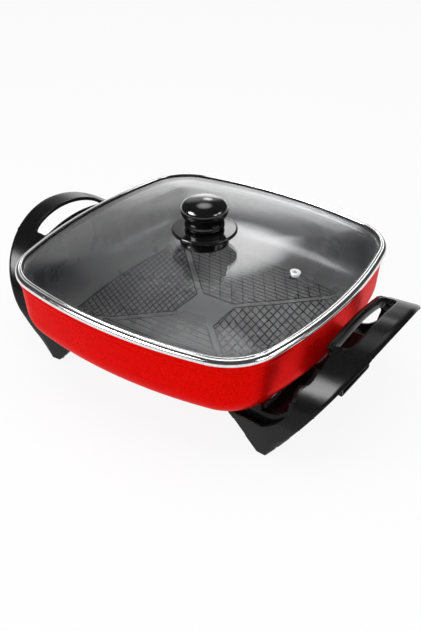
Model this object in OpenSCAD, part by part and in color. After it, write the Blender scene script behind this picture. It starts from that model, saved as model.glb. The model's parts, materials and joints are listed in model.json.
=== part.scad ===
// Square electric frying pan with side handles that carry the feet, and a lift-off glass lid.
// Millimetres. Z is up, z = 0 is the table, and X runs from handle to handle.

/* [Outline of the rim] */
// Centre to the middle of a side of the lid rim
half_width = 162; // [145:0.5:180]
// How much further the corner of the lid rim is from the centre
corner_extra = 28; // [20:0.5:33]
// Radius of the four corners
corner_radius = 60; // [56:1:68]

/* [Pan] */
// Height of the pan's rim, where the lid rests
rim_height = 127.5; // [120:0.5:135]
// Height of the underside of the pan's base
base_height = 58; // [54:0.5:62]
// Thickness of the pan's wall
pan_wall = 3.2; // [2.5:0.1:4]
// Thickness of the pan's base
pan_floor = 4.5; // [3.5:0.1:6]
// Draft of the wall, in degrees
wall_draft = 4.7; // [2:0.1:7]
// Radius between wall and base, outside
base_fillet = 33; // [26:0.5:36]
// Lid rim edge to the pan's wall, at the top
wall_inset = 4.2; // [3.6:0.1:6]
// How far the rim bead stands out from the wall
bead_step = 1.7; // [1:0.1:2.2]
// Height of the rim bead
bead_height = 6.6; // [5:0.1:9]

/* [Lid] */
// Height of the steel band round the glass
band_height = 7.5; // [7:0.1:10]
// Width of the steel band, seen from above
band_width = 8.6; // [8.2:0.1:11]
// Thickness of the steel sheet
band_sheet = 1.1; // [0.8:0.1:1.4]
// How far the locating skirt reaches down into the pan
skirt_drop = 6; // [4:0.5:9]
// Thickness of the glass
glass_thickness = 4; // [3:0.1:4.5]
// Rise of the glass from its edge to its middle
dome_rise = 12; // [8:0.5:20]
// Wall of the silicone seal round the glass
seal_wall = 0.6; // [0.4:0.05:0.8]
// Distance of the steam vent from the middle
vent_reach = 102.5; // [80:0.5:110]
// Radius of the steam vent's hole
vent_bore = 2.2; // [1.5:0.1:3]
// Radius of the steam vent's flange
vent_flange = 5.4; // [4.5:0.1:7]
// Travel of the lid as it lifts off
lid_travel = 150; // [60:1:250]

/* [Knob] */
// Radius of the seat that stands on the glass
seat_radius = 22.2; // [18:0.1:26]
// Height of that seat
seat_height = 13; // [9:0.5:16]
// Radius of the heat guard disc
guard_radius = 33.3; // [28:0.1:40]
// Thickness of the heat guard disc
guard_thickness = 3.8; // [3:0.1:6]
// Radius of the knob's neck
neck_radius = 20; // [17:0.1:22]
// Depth of the groove between neck and collar
neck_groove = 2.4; // [1:0.1:3.5]
// Height of the collar on the heat guard
collar_height = 7; // [4:0.5:9]
// Radius of the knob's cap
cap_radius = 24; // [22.5:0.1:30]
// Height of neck and cap together
cap_height = 25.5; // [22:0.5:34]
// Radius of the screw in the knob
knob_screw_r = 2.5; // [2:0.1:3]

/* [Heating element] */
// Radius of the element's loop
loop_radius = 85; // [70:1:95]
// Radius of the element's tube
tube_radius = 3.5; // [3:0.1:3.9]
// Distance of each terminal pin from the middle
pin_offset = 15; // [12:0.5:18]
// Radius of the bends that lead to the terminals
bend_radius = 14; // [10:0.5:18]
// Radius of a terminal pin
pin_radius = 2.4; // [2:0.1:3]
// Free length of a terminal pin
pin_length = 24; // [16:0.5:30]
// Radius of the bore for the plug's probe
probe_bore = 2.7; // [2.2:0.1:3.2]
// Wall of the probe sleeve
probe_wall = 0.9; // [0.6:0.1:1.2]

/* [Handles and feet] */
// Lid rim to the outer edge of a grip
grip_beyond = 59.5; // [52:0.5:73]
// Height of the grip's outer edge
grip_height = 132; // [124:0.5:136]
// Inward slope of the grip, in degrees
grip_tilt = 4; // [0:0.5:8]
// Half of a handle's width, where it is widest
arch_half_width = 102; // [98:0.5:106]
// Height of that widest place
arch_spring = 55.5; // [50:0.5:64]
// Half of a handle's width at the table
foot_half_width = 95.5; // [92:0.5:98]
// How far the outer edge of a foot stands in from the lid rim
foot_inset = 24.2; // [20:0.2:30]
// Wall of the handle shell
shell_wall = 4; // [3:0.1:5]
// Lid rim to the rail inside the finger slot
rail_beyond = 8.5; // [6:0.5:12]
// Width of that rail
rail_width = 6.5; // [4:0.5:8]
// Height of that rail
rail_height = 11; // [7:0.5:14]
// Width of the finger slot
slot_width = 20; // [14:0.5:24]
// Length of the finger slot
slot_length = 98; // [80:1:104]
// Height of the foot's upper edge
foot_height = 38.5; // [32:0.5:42]
// Length of a foot, from its outer edge to its inner tip
foot_length = 43.8; // [39.8:0.5:51.8]
// Width of the cross beam under the pan
beam_width = 16; // [14:0.5:20]
// Height of the cross beam
beam_height = 14.5; // [10:0.5:20]
// Wall of the cross beam and of the inner cheek
beam_wall = 3; // [2.5:0.1:4]
// Radius of a rubber foot pad
pad_radius = 4.2; // [3.5:0.1:4.6]
// How far a foot pad stands out
pad_proud = 0.8; // [0.4:0.1:1.5]

/* [Plug socket] */
// Half of the hood's width
hood_half_width = 29; // [26:0.5:34]
// Lid rim to the mouth of the hood
hood_beyond = 18; // [10:0.5:22]
// Height of the hood
hood_height = 37; // [34:0.5:42]
// Wall of the hood
hood_wall = 2.6; // [2:0.1:3.5]
// Thickness of the sheet of the socket guard
guard_sheet = 1.2; // [0.8:0.1:1.5]

/* [Brackets and screws] */
// Thickness of a bracket's steel
bracket_sheet = 2.2; // [1.8:0.1:2.6]
// How far a bracket's boss stands in from the lid rim
boss_inset = 64; // [61:0.5:66]
// Distance of a bracket's boss from the middle, along Y
boss_y = 62; // [50:0.5:70]
// Radius of a boss
boss_radius = 7; // [6:0.5:8]
// Radius of the M5 screws
screw_radius = 2.5; // [2:0.1:3]

/* [Hidden] */

// Clearances
fit_gap = 0.1;
slide_gap = 0.3;
lid_gap = 0.6;
over = 1;

// Fine steps along the outline
side_steps = 8;
corner_steps = 12;
ring_size = 4 * (side_steps + corner_steps);

// Places along X, from the middle of the pan
half_diagonal = half_width + corner_extra;
grip_reach = half_width + grip_beyond;
rail_reach = half_width + rail_beyond;
foot_reach = half_width - foot_inset;
foot_tip_reach = foot_reach - foot_length;
hood_reach = half_width + hood_beyond;
boss_x = half_width - boss_inset;

// Outline: four shallow side arcs joined by four corner arcs, all tangent
corner_mid = (half_diagonal - corner_radius) / sqrt(2);
side_span = half_width - corner_radius;
side_centre = (2 * corner_mid * corner_mid - side_span * side_span) / (2 * (side_span - corner_mid));
side_radius = half_width + side_centre;
side_angle = atan(corner_mid / (corner_mid + side_centre));

function turned(p, a) = [p.x * cos(a) - p.y * sin(a), p.x * sin(a) + p.y * cos(a)];

// One closed outline, moved inwards by inset
function outline(inset) = [
  for (k = [0:3]) each concat(
    [for (i = [0:side_steps - 1])
      let (a = side_angle * (2 * i / side_steps - 1))
      turned([(side_radius - inset) * cos(a) - side_centre, (side_radius - inset) * sin(a)], 90 * k)],
    [for (i = [0:corner_steps - 1])
      let (a = side_angle + (90 - 2 * side_angle) * i / corner_steps)
      turned([corner_mid + (corner_radius - inset) * cos(a),
              corner_mid + (corner_radius - inset) * sin(a)], 90 * k)])
];

// Ring of 3D points at a profile point [inset, z]
function ring(p) = [for (q = outline(p.x)) [q.x, q.y, p.y]];

// Solid between stacked rings, closed by a flat face at both ends
module ring_stack(profile) {
  count = len(profile);
  points = [for (p = profile) each ring(p)];
  sides = [
    for (j = [0:count - 2], i = [0:ring_size - 1])
      let (n = (i + 1) % ring_size)
      [j * ring_size + i, (j + 1) * ring_size + i, (j + 1) * ring_size + n, j * ring_size + n]
  ];
  first = [for (i = [0:ring_size - 1]) i];
  last = [for (i = [ring_size - 1:-1:0]) (count - 1) * ring_size + i];
  polyhedron(points, concat(sides, [first, last]));
}

// Endless band with the closed section given as [inset, z] points
module ring_band(section) {
  count = len(section);
  points = [for (p = section) each ring(p)];
  faces = [
    for (j = [0:count - 1], i = [0:ring_size - 1])
      let (n = (i + 1) % ring_size, m = (j + 1) % count)
      [j * ring_size + i, m * ring_size + i, m * ring_size + n, j * ring_size + n]
  ];
  polyhedron(points, faces);
}

module at_four(x, y) {
  for (sx = [-1, 1], sy = [-1, 1]) translate([sx * x, sy * y, 0]) children();
}

// Pan

bead_inset = wall_inset - bead_step;
bead_foot = rim_height - bead_height;
wall_top = bead_foot - bead_step;
floor_height = base_height + pan_floor;
inner_fillet = base_fillet - pan_wall;
fillet_steps = 7;

// Centre of a fillet that touches a wall starting at [inset, wall_top] and a floor
function fillet_inset(inset, floor_z, r) =
  inset + (wall_top - floor_z - r) * tan(wall_draft) + r / cos(wall_draft);
function fillet_arc(inset, floor_z, r) = [
  for (i = [0:fillet_steps])
    let (a = -90 + (90 - wall_draft) * i / fillet_steps)
    [fillet_inset(inset, floor_z, r) - r * cos(a), floor_z + r + r * sin(a)]
];
inner_inset = wall_inset + pan_wall / cos(wall_draft);
ledge_foot = bead_foot - 2.6;
outer_profile = concat(
  fillet_arc(wall_inset, base_height, base_fillet),
  [[wall_inset, wall_top], [bead_inset + 0.3, bead_foot], [bead_inset, bead_foot + 0.6],
   [bead_inset, rim_height - 0.6], [bead_inset + 0.6, rim_height]]);
inner_arc = fillet_arc(inner_inset, floor_height, inner_fillet);
inner_profile = concat(
  [[bead_inset + pan_wall - 0.6, rim_height], [bead_inset + pan_wall, rim_height - 0.6],
   [bead_inset + pan_wall, bead_foot - 0.8],
   [inner_inset + (wall_top - ledge_foot) * tan(wall_draft), ledge_foot]],
  [for (i = [fillet_steps:-1:0]) inner_arc[i]]);

// Outer wall of the pan at height z, as a distance from the middle
fillet_x = half_width - fillet_inset(wall_inset, base_height, base_fillet);
function pan_reach(z) = z >= base_height + base_fillet
  ? half_width - wall_inset - (wall_top - z) * tan(wall_draft)
  : fillet_x + sqrt(max(0, pow(base_fillet, 2) - pow(base_height + base_fillet - z, 2)));

// Element channel and bosses under the base
tube_z = base_height - slide_gap - tube_radius;
channel_rib = 3;
channel_gap = 0.5;
channel_depth = 5.5;
bracket_top = tube_z - tube_radius - 1;
probe_length = 36;
beam_outer = foot_reach - 9;
beam_inner = beam_outer - beam_width;
block_length = 18;
block_end = beam_outer - 10.8;
probe_start = block_end - block_length;
sleeve_radius = probe_bore + probe_wall;
block_half = sleeve_radius + 4;
boss_bore = base_height - bracket_top + 1;
bend_angle = asin((pin_offset + bend_radius) / (loop_radius + bend_radius));
bend_x = (loop_radius + bend_radius) * cos(bend_angle);
pin_root = pin_radius + 0.4;
insulator_length = 9;
insulator_radius = pin_root + 1.8;
leg_end = pan_reach(tube_z + insulator_radius) + slide_gap;
leg_clear = pin_offset + bend_radius + 2;

module pan_body() {
  color([0.78, 0.02, 0.02]) difference() {
    union() {
      ring_stack(concat(outer_profile, inner_profile));
      for (r = [loop_radius - tube_radius - channel_gap - channel_rib, loop_radius + tube_radius + channel_gap])
        translate([0, 0, base_height - channel_depth]) difference() {
          cylinder(r = r + channel_rib, h = channel_depth + over, $fn = 120);
          translate([0, 0, -over]) cylinder(r = r, h = channel_depth + 3 * over, $fn = 120);
          translate([0, -leg_clear, -over]) cube([half_width, 2 * leg_clear, channel_depth + over]);
        }
      at_four(boss_x, boss_y) translate([0, 0, bracket_top])
        cylinder(r = boss_radius, h = base_height - bracket_top + over, $fn = 48);
    }
    at_four(boss_x, boss_y) translate([0, 0, bracket_top - over])
      cylinder(r = screw_radius + fit_gap, h = boss_bore + over, $fn = 32);
  }
}

// Heating element: a loop, two bends and two straight legs

// Centre line of the element, from one terminal round the loop to the other
loop_steps = 48;
bend_steps = 6;
function loop_point(a) = [loop_radius * cos(a), loop_radius * sin(a)];
function bend_point(a) = [bend_x + bend_radius * cos(a), pin_offset + bend_radius + bend_radius * sin(a)];
half_path = concat(
  [[leg_end, pin_offset]],
  [for (i = [0:bend_steps]) bend_point(270 - (90 - bend_angle) * i / bend_steps)],
  [for (i = [1:loop_steps / 2]) loop_point(bend_angle + (180 - bend_angle) * i / (loop_steps / 2))]);
element_line = concat(half_path, [for (i = [len(half_path) - 2:-1:0]) [half_path[i].x, -half_path[i].y]]);
tube_sides = 16;

// Tube of radius r along a flat line of points
module tube_along(line, r) {
  n = len(line);
  points = [
    for (i = [0:n - 1])
      let (d = line[min(i + 1, n - 1)] - line[max(i - 1, 0)], side = [d.y, -d.x] / norm(d))
      for (k = [0:tube_sides - 1])
        let (a = 360 * k / tube_sides)
        [line[i].x + side.x * r * cos(a), line[i].y + side.y * r * cos(a), r * sin(a)]
  ];
  sides = [
    for (i = [0:n - 2], k = [0:tube_sides - 1])
      let (m = (k + 1) % tube_sides)
      [i * tube_sides + k, i * tube_sides + m, (i + 1) * tube_sides + m, (i + 1) * tube_sides + k]
  ];
  first = [for (k = [tube_sides - 1:-1:0]) k];
  last = [for (k = [0:tube_sides - 1]) (n - 1) * tube_sides + k];
  polyhedron(points, concat(sides, [first, last]));
}

module heating_element() {
  color([0.45, 0.44, 0.42]) translate([0, 0, tube_z]) tube_along(element_line, tube_radius);
}

pin_end = leg_end + insulator_length + pin_length;

module on_pins() {
  for (s = [-1, 1]) translate([leg_end, s * pin_offset, tube_z]) rotate([0, 90, 0]) children();
}

module terminal_pins() {
  color([0.8, 0.8, 0.78]) on_pins() {
    cylinder(r = pin_root, h = insulator_length, $fn = 32);
    cylinder(r = pin_radius, h = insulator_length + pin_length - pin_radius, $fn = 32);
    translate([0, 0, insulator_length + pin_length - pin_radius]) intersection() {
      sphere(r = pin_radius, $fn = 32);
      translate([0, 0, -fit_gap]) cylinder(r = 2 * pin_radius, h = 2 * pin_radius, $fn = 32);
    }
  }
}

module terminal_insulators() {
  color([0.93, 0.9, 0.84]) on_pins() difference() {
    cylinder(r = insulator_radius, h = insulator_length, $fn = 32);
    translate([0, 0, -over]) cylinder(r = pin_root + fit_gap, h = insulator_length + 2 * over, $fn = 32);
  }
}

// Block brazed under the base, with the seat of the probe's sleeve
module probe_block() {
  color([0.62, 0.62, 0.63]) difference() {
    translate([probe_start - 4, -block_half, tube_z - sleeve_radius - 3])
      cube([block_end - probe_start + 4, 2 * block_half, base_height - tube_z + sleeve_radius + 3]);
    translate([probe_start - fit_gap, 0, tube_z]) rotate([0, 90, 0])
      cylinder(r = sleeve_radius + fit_gap, h = block_end - probe_start + over, $fn = 32);
  }
}

module probe_sleeve() {
  color([0.75, 0.75, 0.74]) translate([probe_start, 0, tube_z]) rotate([0, 90, 0]) difference() {
    cylinder(r = sleeve_radius, h = probe_length, $fn = 32);
    translate([0, 0, 1.5]) cylinder(r = probe_bore, h = probe_length, $fn = 32);
  }
}

// Socket guard: a folded sheet round the pins, screwed to the floor of the hood
beam_top = bracket_top - bracket_sheet;
hood_bottom = beam_top - 1;
hood_floor = hood_bottom + hood_wall;
hood_clear = 3;
guard_start = beam_outer + hood_wall + 2;
guard_end = hood_reach - 8;
guard_floor = hood_floor;
guard_half = hood_half_width - hood_wall - slide_gap;
guard_screw_r = 1.5;
guard_screw_x = guard_start + 12;
guard_margin = 6;
guard_wall = 18;
guard_back = base_height - guard_floor;

module guard_side(reach) {
  rotate([90, 0, 0]) linear_extrude(guard_sheet) polygon([
    [guard_start, guard_floor], [reach, guard_floor], [reach, guard_floor + guard_wall],
    [pan_reach(guard_floor + guard_wall) + hood_clear, guard_floor + guard_wall],
    [pan_reach(guard_floor + guard_wall * 2 / 3) + hood_clear, guard_floor + guard_wall * 2 / 3],
    [guard_start, guard_floor + guard_back]
  ]);
}

module socket_guard() {
  color([0.76, 0.76, 0.77]) difference() {
    union() {
      translate([guard_start, -guard_half, guard_floor]) cube([guard_end - guard_start, 2 * guard_half, guard_sheet]);
      translate([guard_start, -guard_half, guard_floor]) cube([guard_sheet, 2 * guard_half, guard_back]);
      for (s = [0, 1]) mirror([0, s, 0]) translate([0, guard_half, 0]) guard_side(guard_end);
    }
    on_pins() cylinder(r = insulator_radius + fit_gap, h = insulator_length, $fn = 32);
    translate([guard_start - over, 0, tube_z]) rotate([0, 90, 0])
      cylinder(r = sleeve_radius + fit_gap, h = guard_sheet + 2 * over, $fn = 32);
    for (s = [-1, 1]) translate([guard_screw_x, s * (guard_half - guard_margin), guard_floor - over])
      cylinder(r = guard_screw_r + fit_gap, h = guard_sheet + 2 * over, $fn = 24);
  }
}

module guard_screws() {
  color([0.7, 0.7, 0.7]) for (s = [-1, 1])
    translate([guard_screw_x, s * (guard_half - guard_margin), guard_floor + guard_sheet])
      screw(guard_screw_r, guard_sheet + hood_wall, 2.6, 1.4);
}

// Screw with its head on z = 0 and its shank below
module screw(r, length, head_r, head_h) {
  difference() {
    cylinder(r = head_r, h = head_h, $fn = 32);
    for (a = [0, 90]) rotate([0, 0, a]) translate([-head_r * 0.6, -head_r * 0.12, head_h * 0.5])
      cube([head_r * 1.2, head_r * 0.24, head_h]);
  }
  translate([0, 0, -length]) cylinder(r = r, h = length, $fn = 32);
}

// Brackets: one steel strap under each side, between pan and handle
bracket_half = 84;
bracket_inner = boss_x - boss_radius - 2;
bracket_lip = 7;
handle_screw_y = 58;
handle_screw_x = beam_inner + beam_width / 2;
nut_height = 4;
nut_radius = 4.6;

module bracket() {
  difference() {
    union() {
      translate([bracket_inner, -bracket_half, beam_top])
        cube([beam_outer - 1 - bracket_inner, 2 * bracket_half, bracket_sheet]);
      translate([bracket_inner, -bracket_half, beam_top - bracket_lip])
        cube([bracket_sheet, 2 * bracket_half, bracket_lip + bracket_sheet / 2]);
    }
    for (s = [-1, 1]) {
      translate([boss_x, s * boss_y, beam_top - over])
        cylinder(r = screw_radius + slide_gap, h = bracket_sheet + 2 * over, $fn = 32);
      translate([handle_screw_x, s * handle_screw_y, beam_top - over])
        cylinder(r = screw_radius + slide_gap, h = bracket_sheet + 2 * over, $fn = 32);
    }
  }
}

// The right bracket has a notch for the block that holds the probe sleeve
module bracket_right() {
  color([0.7, 0.71, 0.72]) difference() {
    bracket();
    translate([bracket_inner - over, -block_half - slide_gap, beam_top - bracket_lip - over])
      cube([block_end - bracket_inner + slide_gap + over, 2 * (block_half + slide_gap),
            bracket_lip + bracket_sheet + 2 * over]);
  }
}

module bracket_left() {
  color([0.7, 0.71, 0.72]) mirror([1, 0, 0]) bracket();
}

bracket_head = 3.4;

module bracket_screws() {
  color([0.72, 0.72, 0.72]) at_four(boss_x, boss_y) translate([0, 0, beam_top])
    rotate([180, 0, 0]) screw(screw_radius, bracket_sheet + boss_bore - 1.5, 4.6, bracket_head);
}

module bracket_nuts() {
  color([0.72, 0.72, 0.72]) at_four(handle_screw_x, handle_screw_y)
    translate([0, 0, beam_top + bracket_sheet]) difference() {
      cylinder(r = nut_radius, h = nut_height, $fn = 6);
      translate([0, 0, -over]) cylinder(r = screw_radius + fit_gap, h = nut_height + 2 * over, $fn = 32);
    }
}

handle_head = 3;
handle_seat = beam_top - beam_height + 6;

module handle_screws() {
  color([0.72, 0.72, 0.72]) at_four(handle_screw_x, handle_screw_y) translate([0, 0, handle_seat])
    rotate([180, 0, 0]) screw(screw_radius, beam_top - handle_seat + bracket_sheet + nut_height, 4.4, handle_head);
}

// Handles: an arch shell, tilted inwards and trimmed to its side view
arch_power = 1.94;
arch_steps = 20;
leg_slope = (arch_half_width - foot_half_width) / arch_spring;

function arch_point(a, half, rise) = [
  half * sign(cos(a)) * pow(abs(cos(a)), 2 / arch_power),
  arch_spring + rise * pow(abs(sin(a)), 2 / arch_power)
];
function arch_line(inset) = concat(
  [[arch_half_width - inset - leg_slope * (arch_spring + 40), -40]],
  [for (i = [0:2 * arch_steps])
    arch_point(i * 90 / arch_steps, arch_half_width - inset, grip_height - arch_spring - inset)],
  [[-(arch_half_width - inset - leg_slope * (arch_spring + 40)), -40]]);
function reversed(list) = [for (i = [len(list) - 1:-1:0]) list[i]];
function curve(a, b, c, steps) = [
  for (i = [0:steps]) let (t = i / steps) a * pow(1 - t, 2) + b * 2 * t * (1 - t) + c * pow(t, 2)
];

flare = 0.19;
flare_steps = 12;
function flare_x(z) = foot_reach
  + (grip_reach - foot_reach) * (z / grip_height) * (1 + flare * (1 - z / grip_height));
leg_top = grip_height - 40;
ledge_z = grip_height - 18.5;
notch_x = rail_reach + 6;
foot_flat = 10;

// Side view: foot tip, leg, notch under the rail, rail, then back down the outer edge
side_view = concat(
  [[foot_reach - foot_flat, 0], [foot_tip_reach + 6.5, foot_height - 8]],
  curve([foot_tip_reach + 4, foot_height - 6.8], [foot_tip_reach - 0.5, foot_height - 5],
        [foot_tip_reach + 1, foot_height], 4),
  curve([foot_reach - 2, foot_height], [foot_reach + 24, foot_height + 16],
        [rail_reach - 4, leg_top - 13], 9),
  curve([rail_reach - 3.5, leg_top - 4], [rail_reach - 3, leg_top + 1], [rail_reach + 1.5, leg_top + 1], 4),
  curve([rail_reach + 3.5, leg_top + 3], [notch_x - 0.5, leg_top + 6], [notch_x + 0.5, leg_top + 16], 4),
  [[notch_x + 2, ledge_z - 2], [rail_reach, ledge_z], [rail_reach, grip_height + 8],
   [grip_reach, grip_height + 8]],
  [for (i = [flare_steps:-1:0]) let (z = grip_height * i / flare_steps) [flare_x(z), z]]);

module side_plate(width) {
  rotate([90, 0, 0]) linear_extrude(width) children();
}

// Arch between two insets, as a tilted extrusion along X
module arch_ring(high, low) {
  translate([grip_reach, 0, 0]) rotate([0, -grip_tilt, 0]) translate([-grip_reach, 0, 0])
    rotate([90, 0, 90]) linear_extrude(grip_reach + grip_beyond) polygon([
      for (p = concat(arch_line(high), reversed(arch_line(low)))) [p.x, p.y * cos(grip_tilt)]
    ]);
}

module arch_shell() {
  intersection() {
    arch_ring(0, shell_wall);
    translate([0, arch_half_width + over, 0]) side_plate(2 * (arch_half_width + over)) polygon(side_view);
  }
}

// Rail along the inner side of the finger slot, deeper than the shell
module rail() {
  intersection() {
    arch_ring(0.4, rail_height);
    translate([rail_reach, -slot_length / 2 - 4, ledge_z - 14]) cube([rail_width, slot_length + 8, 60]);
  }
}

// Cheek: the inner wall of a leg, with its post under the pan's corner
cheek_y = foot_half_width - shell_wall - 1;
post_height = base_height - 1.5;
sill_height = beam_top + 1.5;
cheek_view = concat(
  [[beam_inner, beam_top - beam_height], [beam_inner, sill_height], [beam_inner + 4, post_height],
   [beam_outer, post_height], [beam_outer, sill_height]],
  curve([beam_outer + 2, sill_height], [foot_reach + 11, sill_height], [foot_reach + 19, sill_height + 12], 6),
  curve([foot_reach + 20, sill_height + 15], [foot_reach + 22, leg_top - 18], [rail_reach - 5, leg_top - 9], 4),
  [[rail_reach + 5, leg_top - 9], [foot_reach + 22, foot_height - 4], [foot_reach - 2, 6], [foot_reach - 12, 4]]);

slot_x = rail_reach + rail_width;
slot_steps = 16;
rail_top = grip_height - (grip_reach - rail_reach) * tan(grip_tilt);

// Finger slot: straight along the rail, bowed on its outer side
function slot_bow(t) = [
  slot_x + 3 + (slot_width - 3) * pow(max(0, cos(t * 90)), 0.34),
  slot_length / 2 * sin(t * 90)
];
slot_line = concat(
  [[slot_x, -slot_length / 2 + 4], [slot_x + 1.2, -slot_length / 2 + 1]],
  [for (i = [-slot_steps:slot_steps]) slot_bow(i / slot_steps)],
  [[slot_x + 1.2, slot_length / 2 - 1], [slot_x, slot_length / 2 - 4]]);

module finger_slot() {
  translate([0, 0, ledge_z - 12]) linear_extrude(50) polygon(slot_line);
}

pad_x = foot_reach - 6.2;
pad_y = foot_half_width - 6.2;
pad_head = 1.8;
pad_stem = 6;
foot_block = 12;

module handle() {
  difference() {
    union() {
      arch_shell();
      rail();
      for (s = [0, 1]) mirror([0, s, 0]) {
        translate([0, cheek_y + over, 0]) side_plate(beam_wall + over) polygon(cheek_view);
        translate([0, foot_half_width - 1.5, 0]) side_plate(foot_block) polygon([
          [foot_reach - foot_flat - 0.5, pad_proud], [foot_reach - 0.3, pad_proud],
          [foot_reach + 6, 9], [foot_reach - foot_flat - 7, 9]]);
        translate([handle_screw_x, handle_screw_y, beam_top - beam_height])
          cylinder(r = beam_width / 2 - 0.5, h = beam_height, $fn = 48);
      }
      beam();
      shelf();
    }
    finger_slot();
    translate([0, -arch_half_width, -over]) cube([grip_reach, 2 * arch_half_width, pad_proud + over]);
    for (s = [-1, 1]) {
      translate([pad_x, s * pad_y, 0]) {
        translate([0, 0, -over]) cylinder(r = pad_radius + fit_gap, h = over + pad_proud + pad_head, $fn = 32);
        cylinder(r = pad_radius / 2 + fit_gap, h = pad_proud + pad_head + pad_stem + 0.2, $fn = 32);
      }
      translate([handle_screw_x, s * handle_screw_y, 0]) {
        cylinder(r = screw_radius + slide_gap, h = beam_top + over, $fn = 32);
        cylinder(r = 4.4 + slide_gap, h = handle_seat, $fn = 32);
      }
    }
  }
}

// Beam: a channel open below, from cheek to cheek
module beam() {
  translate([beam_inner, -cheek_y, beam_top - beam_height]) difference() {
    cube([beam_width, 2 * cheek_y, beam_height]);
    translate([beam_wall, -over, -over])
      cube([beam_width - 2 * beam_wall, 2 * cheek_y + 2 * over, beam_height - beam_wall + over]);
  }
}

// Shelf from the beam outwards, and a web in each foot between shell and cheek
shelf_reach = foot_reach + 12;
shelf_sheet = 2.4;
web_z = foot_height - 9;
module shelf() {
  translate([beam_outer - over, -cheek_y, beam_top - shelf_sheet])
    cube([shelf_reach - beam_outer + over, 2 * cheek_y, shelf_sheet]);
  for (s = [0, 1]) mirror([0, s, 0]) translate([foot_tip_reach + 9, cheek_y - over, web_z])
    cube([foot_reach - foot_tip_reach - 12, foot_half_width - shell_wall / 2 - cheek_y + 2 * over, shelf_sheet]);
}

// Hood: a box open outwards, its back edge following the pan's wall
hood_top = hood_bottom + hood_height;
function hood_back(z) = max(beam_outer - 1, pan_reach(z) + hood_clear);
function hood_view(inner, low, high, reach) = concat(
  [[inner, low], [reach, low], [reach, high]],
  [for (i = [8:-1:0]) let (z = base_height + (high - base_height) * i / 8) [hood_back(z), z]],
  [[inner, base_height - 4]]);

module hood() {
  difference() {
    translate([0, hood_half_width, 0]) side_plate(2 * hood_half_width)
      polygon(hood_view(beam_outer - 1, hood_bottom, hood_top, hood_reach));
    translate([0, hood_half_width - hood_wall, 0]) side_plate(2 * (hood_half_width - hood_wall)) polygon([
      [beam_outer + hood_wall, hood_floor], [hood_reach + over, hood_floor],
      [hood_reach + over, hood_top - hood_wall], [beam_outer + hood_wall, hood_top - hood_wall]]);
    translate([beam_outer - 2 * over, -guard_half + 2, hood_floor])
      cube([hood_wall + 3 * over, 2 * guard_half - 4, hood_height]);
  }
}

module handle_right() {
  color([0.05, 0.05, 0.055]) difference() {
    union() {
      handle();
      hood();
    }
    for (s = [-1, 1]) translate([guard_screw_x, s * (guard_half - guard_margin), beam_top - shelf_sheet - over])
      cylinder(r = guard_screw_r + fit_gap, h = shelf_sheet + hood_wall + 3 * over, $fn = 24);
  }
}

module handle_left() {
  color([0.05, 0.05, 0.055]) mirror([1, 0, 0]) handle();
}

module foot_pads() {
  color([0.12, 0.12, 0.12]) at_four(pad_x, pad_y) {
    cylinder(r = pad_radius, h = pad_proud + pad_head - fit_gap, $fn = 32);
    cylinder(r = pad_radius / 2, h = pad_proud + pad_head + pad_stem, $fn = 32);
  }
}

// Lid

groove_inset = band_width - 4.4;
seal_low = rim_height + band_sheet + fit_gap;
glass_low = seal_low + seal_wall + fit_gap;
glass_edge = groove_inset + seal_wall + 2 * fit_gap;
glass_rim_top = glass_low + glass_thickness;
seal_high = glass_rim_top + fit_gap + seal_wall;
groove_high = seal_high + fit_gap;
band_top = max(rim_height + band_height, groove_high + band_sheet * 0.7);
skirt_inset = bead_inset + pan_wall + lid_gap;

module lid_rim() {
  color([0.86, 0.86, 0.87]) ring_band([
    [0, rim_height], [0, band_top - 0.9], [0.3, band_top - 0.3], [0.9, band_top],
    [band_width - 0.7, band_top], [band_width, band_top - 0.4], [band_width, groove_high],
    [groove_inset, groove_high], [groove_inset, rim_height + band_sheet],
    [band_width, rim_height + band_sheet], [band_width, rim_height],
    [skirt_inset + band_sheet, rim_height], [skirt_inset + band_sheet, rim_height - skirt_drop],
    [skirt_inset, rim_height - skirt_drop], [skirt_inset, rim_height]
  ]);
}

module lid_seal() {
  color([0.1, 0.1, 0.1]) ring_band([
    [groove_inset + fit_gap, seal_low], [groove_inset + fit_gap, seal_high],
    [band_width + 0.5, seal_high], [band_width + 0.5, seal_high - seal_wall],
    [glass_edge - fit_gap, seal_high - seal_wall], [glass_edge - fit_gap, seal_low + seal_wall],
    [band_width + 0.5, seal_low + seal_wall], [band_width + 0.5, seal_low]
  ]);
}

// Glass: rings from the edge inwards, the inner ones scaled copies of one outline
dome_power = 2.2;
ring_limit = corner_radius - 10;
edge_share = 1 - glass_edge / half_width;
flat_share = 0.19;
shoulder_share = 1 - (band_width + 2) / half_width;
dome_steps = 7;
function dome(s) = dome_rise
  * (1 - pow(max(0, (min(s, shoulder_share) - flat_share) / (shoulder_share - flat_share)), dome_power));
function share_ring(s, z) =
  let (inset = (1 - s) * half_width, k = min(1, s * half_width / (half_width - ring_limit)))
  [for (q = outline(min(inset, ring_limit))) [q.x * k, q.y * k, z]];
shares = concat([edge_share], [for (i = [0:dome_steps]) shoulder_share + (flat_share - shoulder_share) * i / dome_steps]);
glass_top = glass_rim_top + dome_rise;
glass_under = glass_top - glass_thickness;

module glass_plate() {
  n = len(shares);
  low = [for (i = [n - 1:-1:0]) each share_ring(shares[i], glass_low + dome(shares[i]))];
  high = [for (s = shares) each share_ring(s, glass_rim_top + dome(s))];
  count = 2 * n;
  sides = [
    for (j = [0:count - 2], i = [0:ring_size - 1])
      let (m = (i + 1) % ring_size)
      [j * ring_size + i, (j + 1) * ring_size + i, (j + 1) * ring_size + m, j * ring_size + m]
  ];
  first = [for (i = [0:ring_size - 1]) i];
  last = [for (i = [ring_size - 1:-1:0]) (count - 1) * ring_size + i];
  polyhedron(concat(low, high), concat(sides, [first, last]));
}

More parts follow.
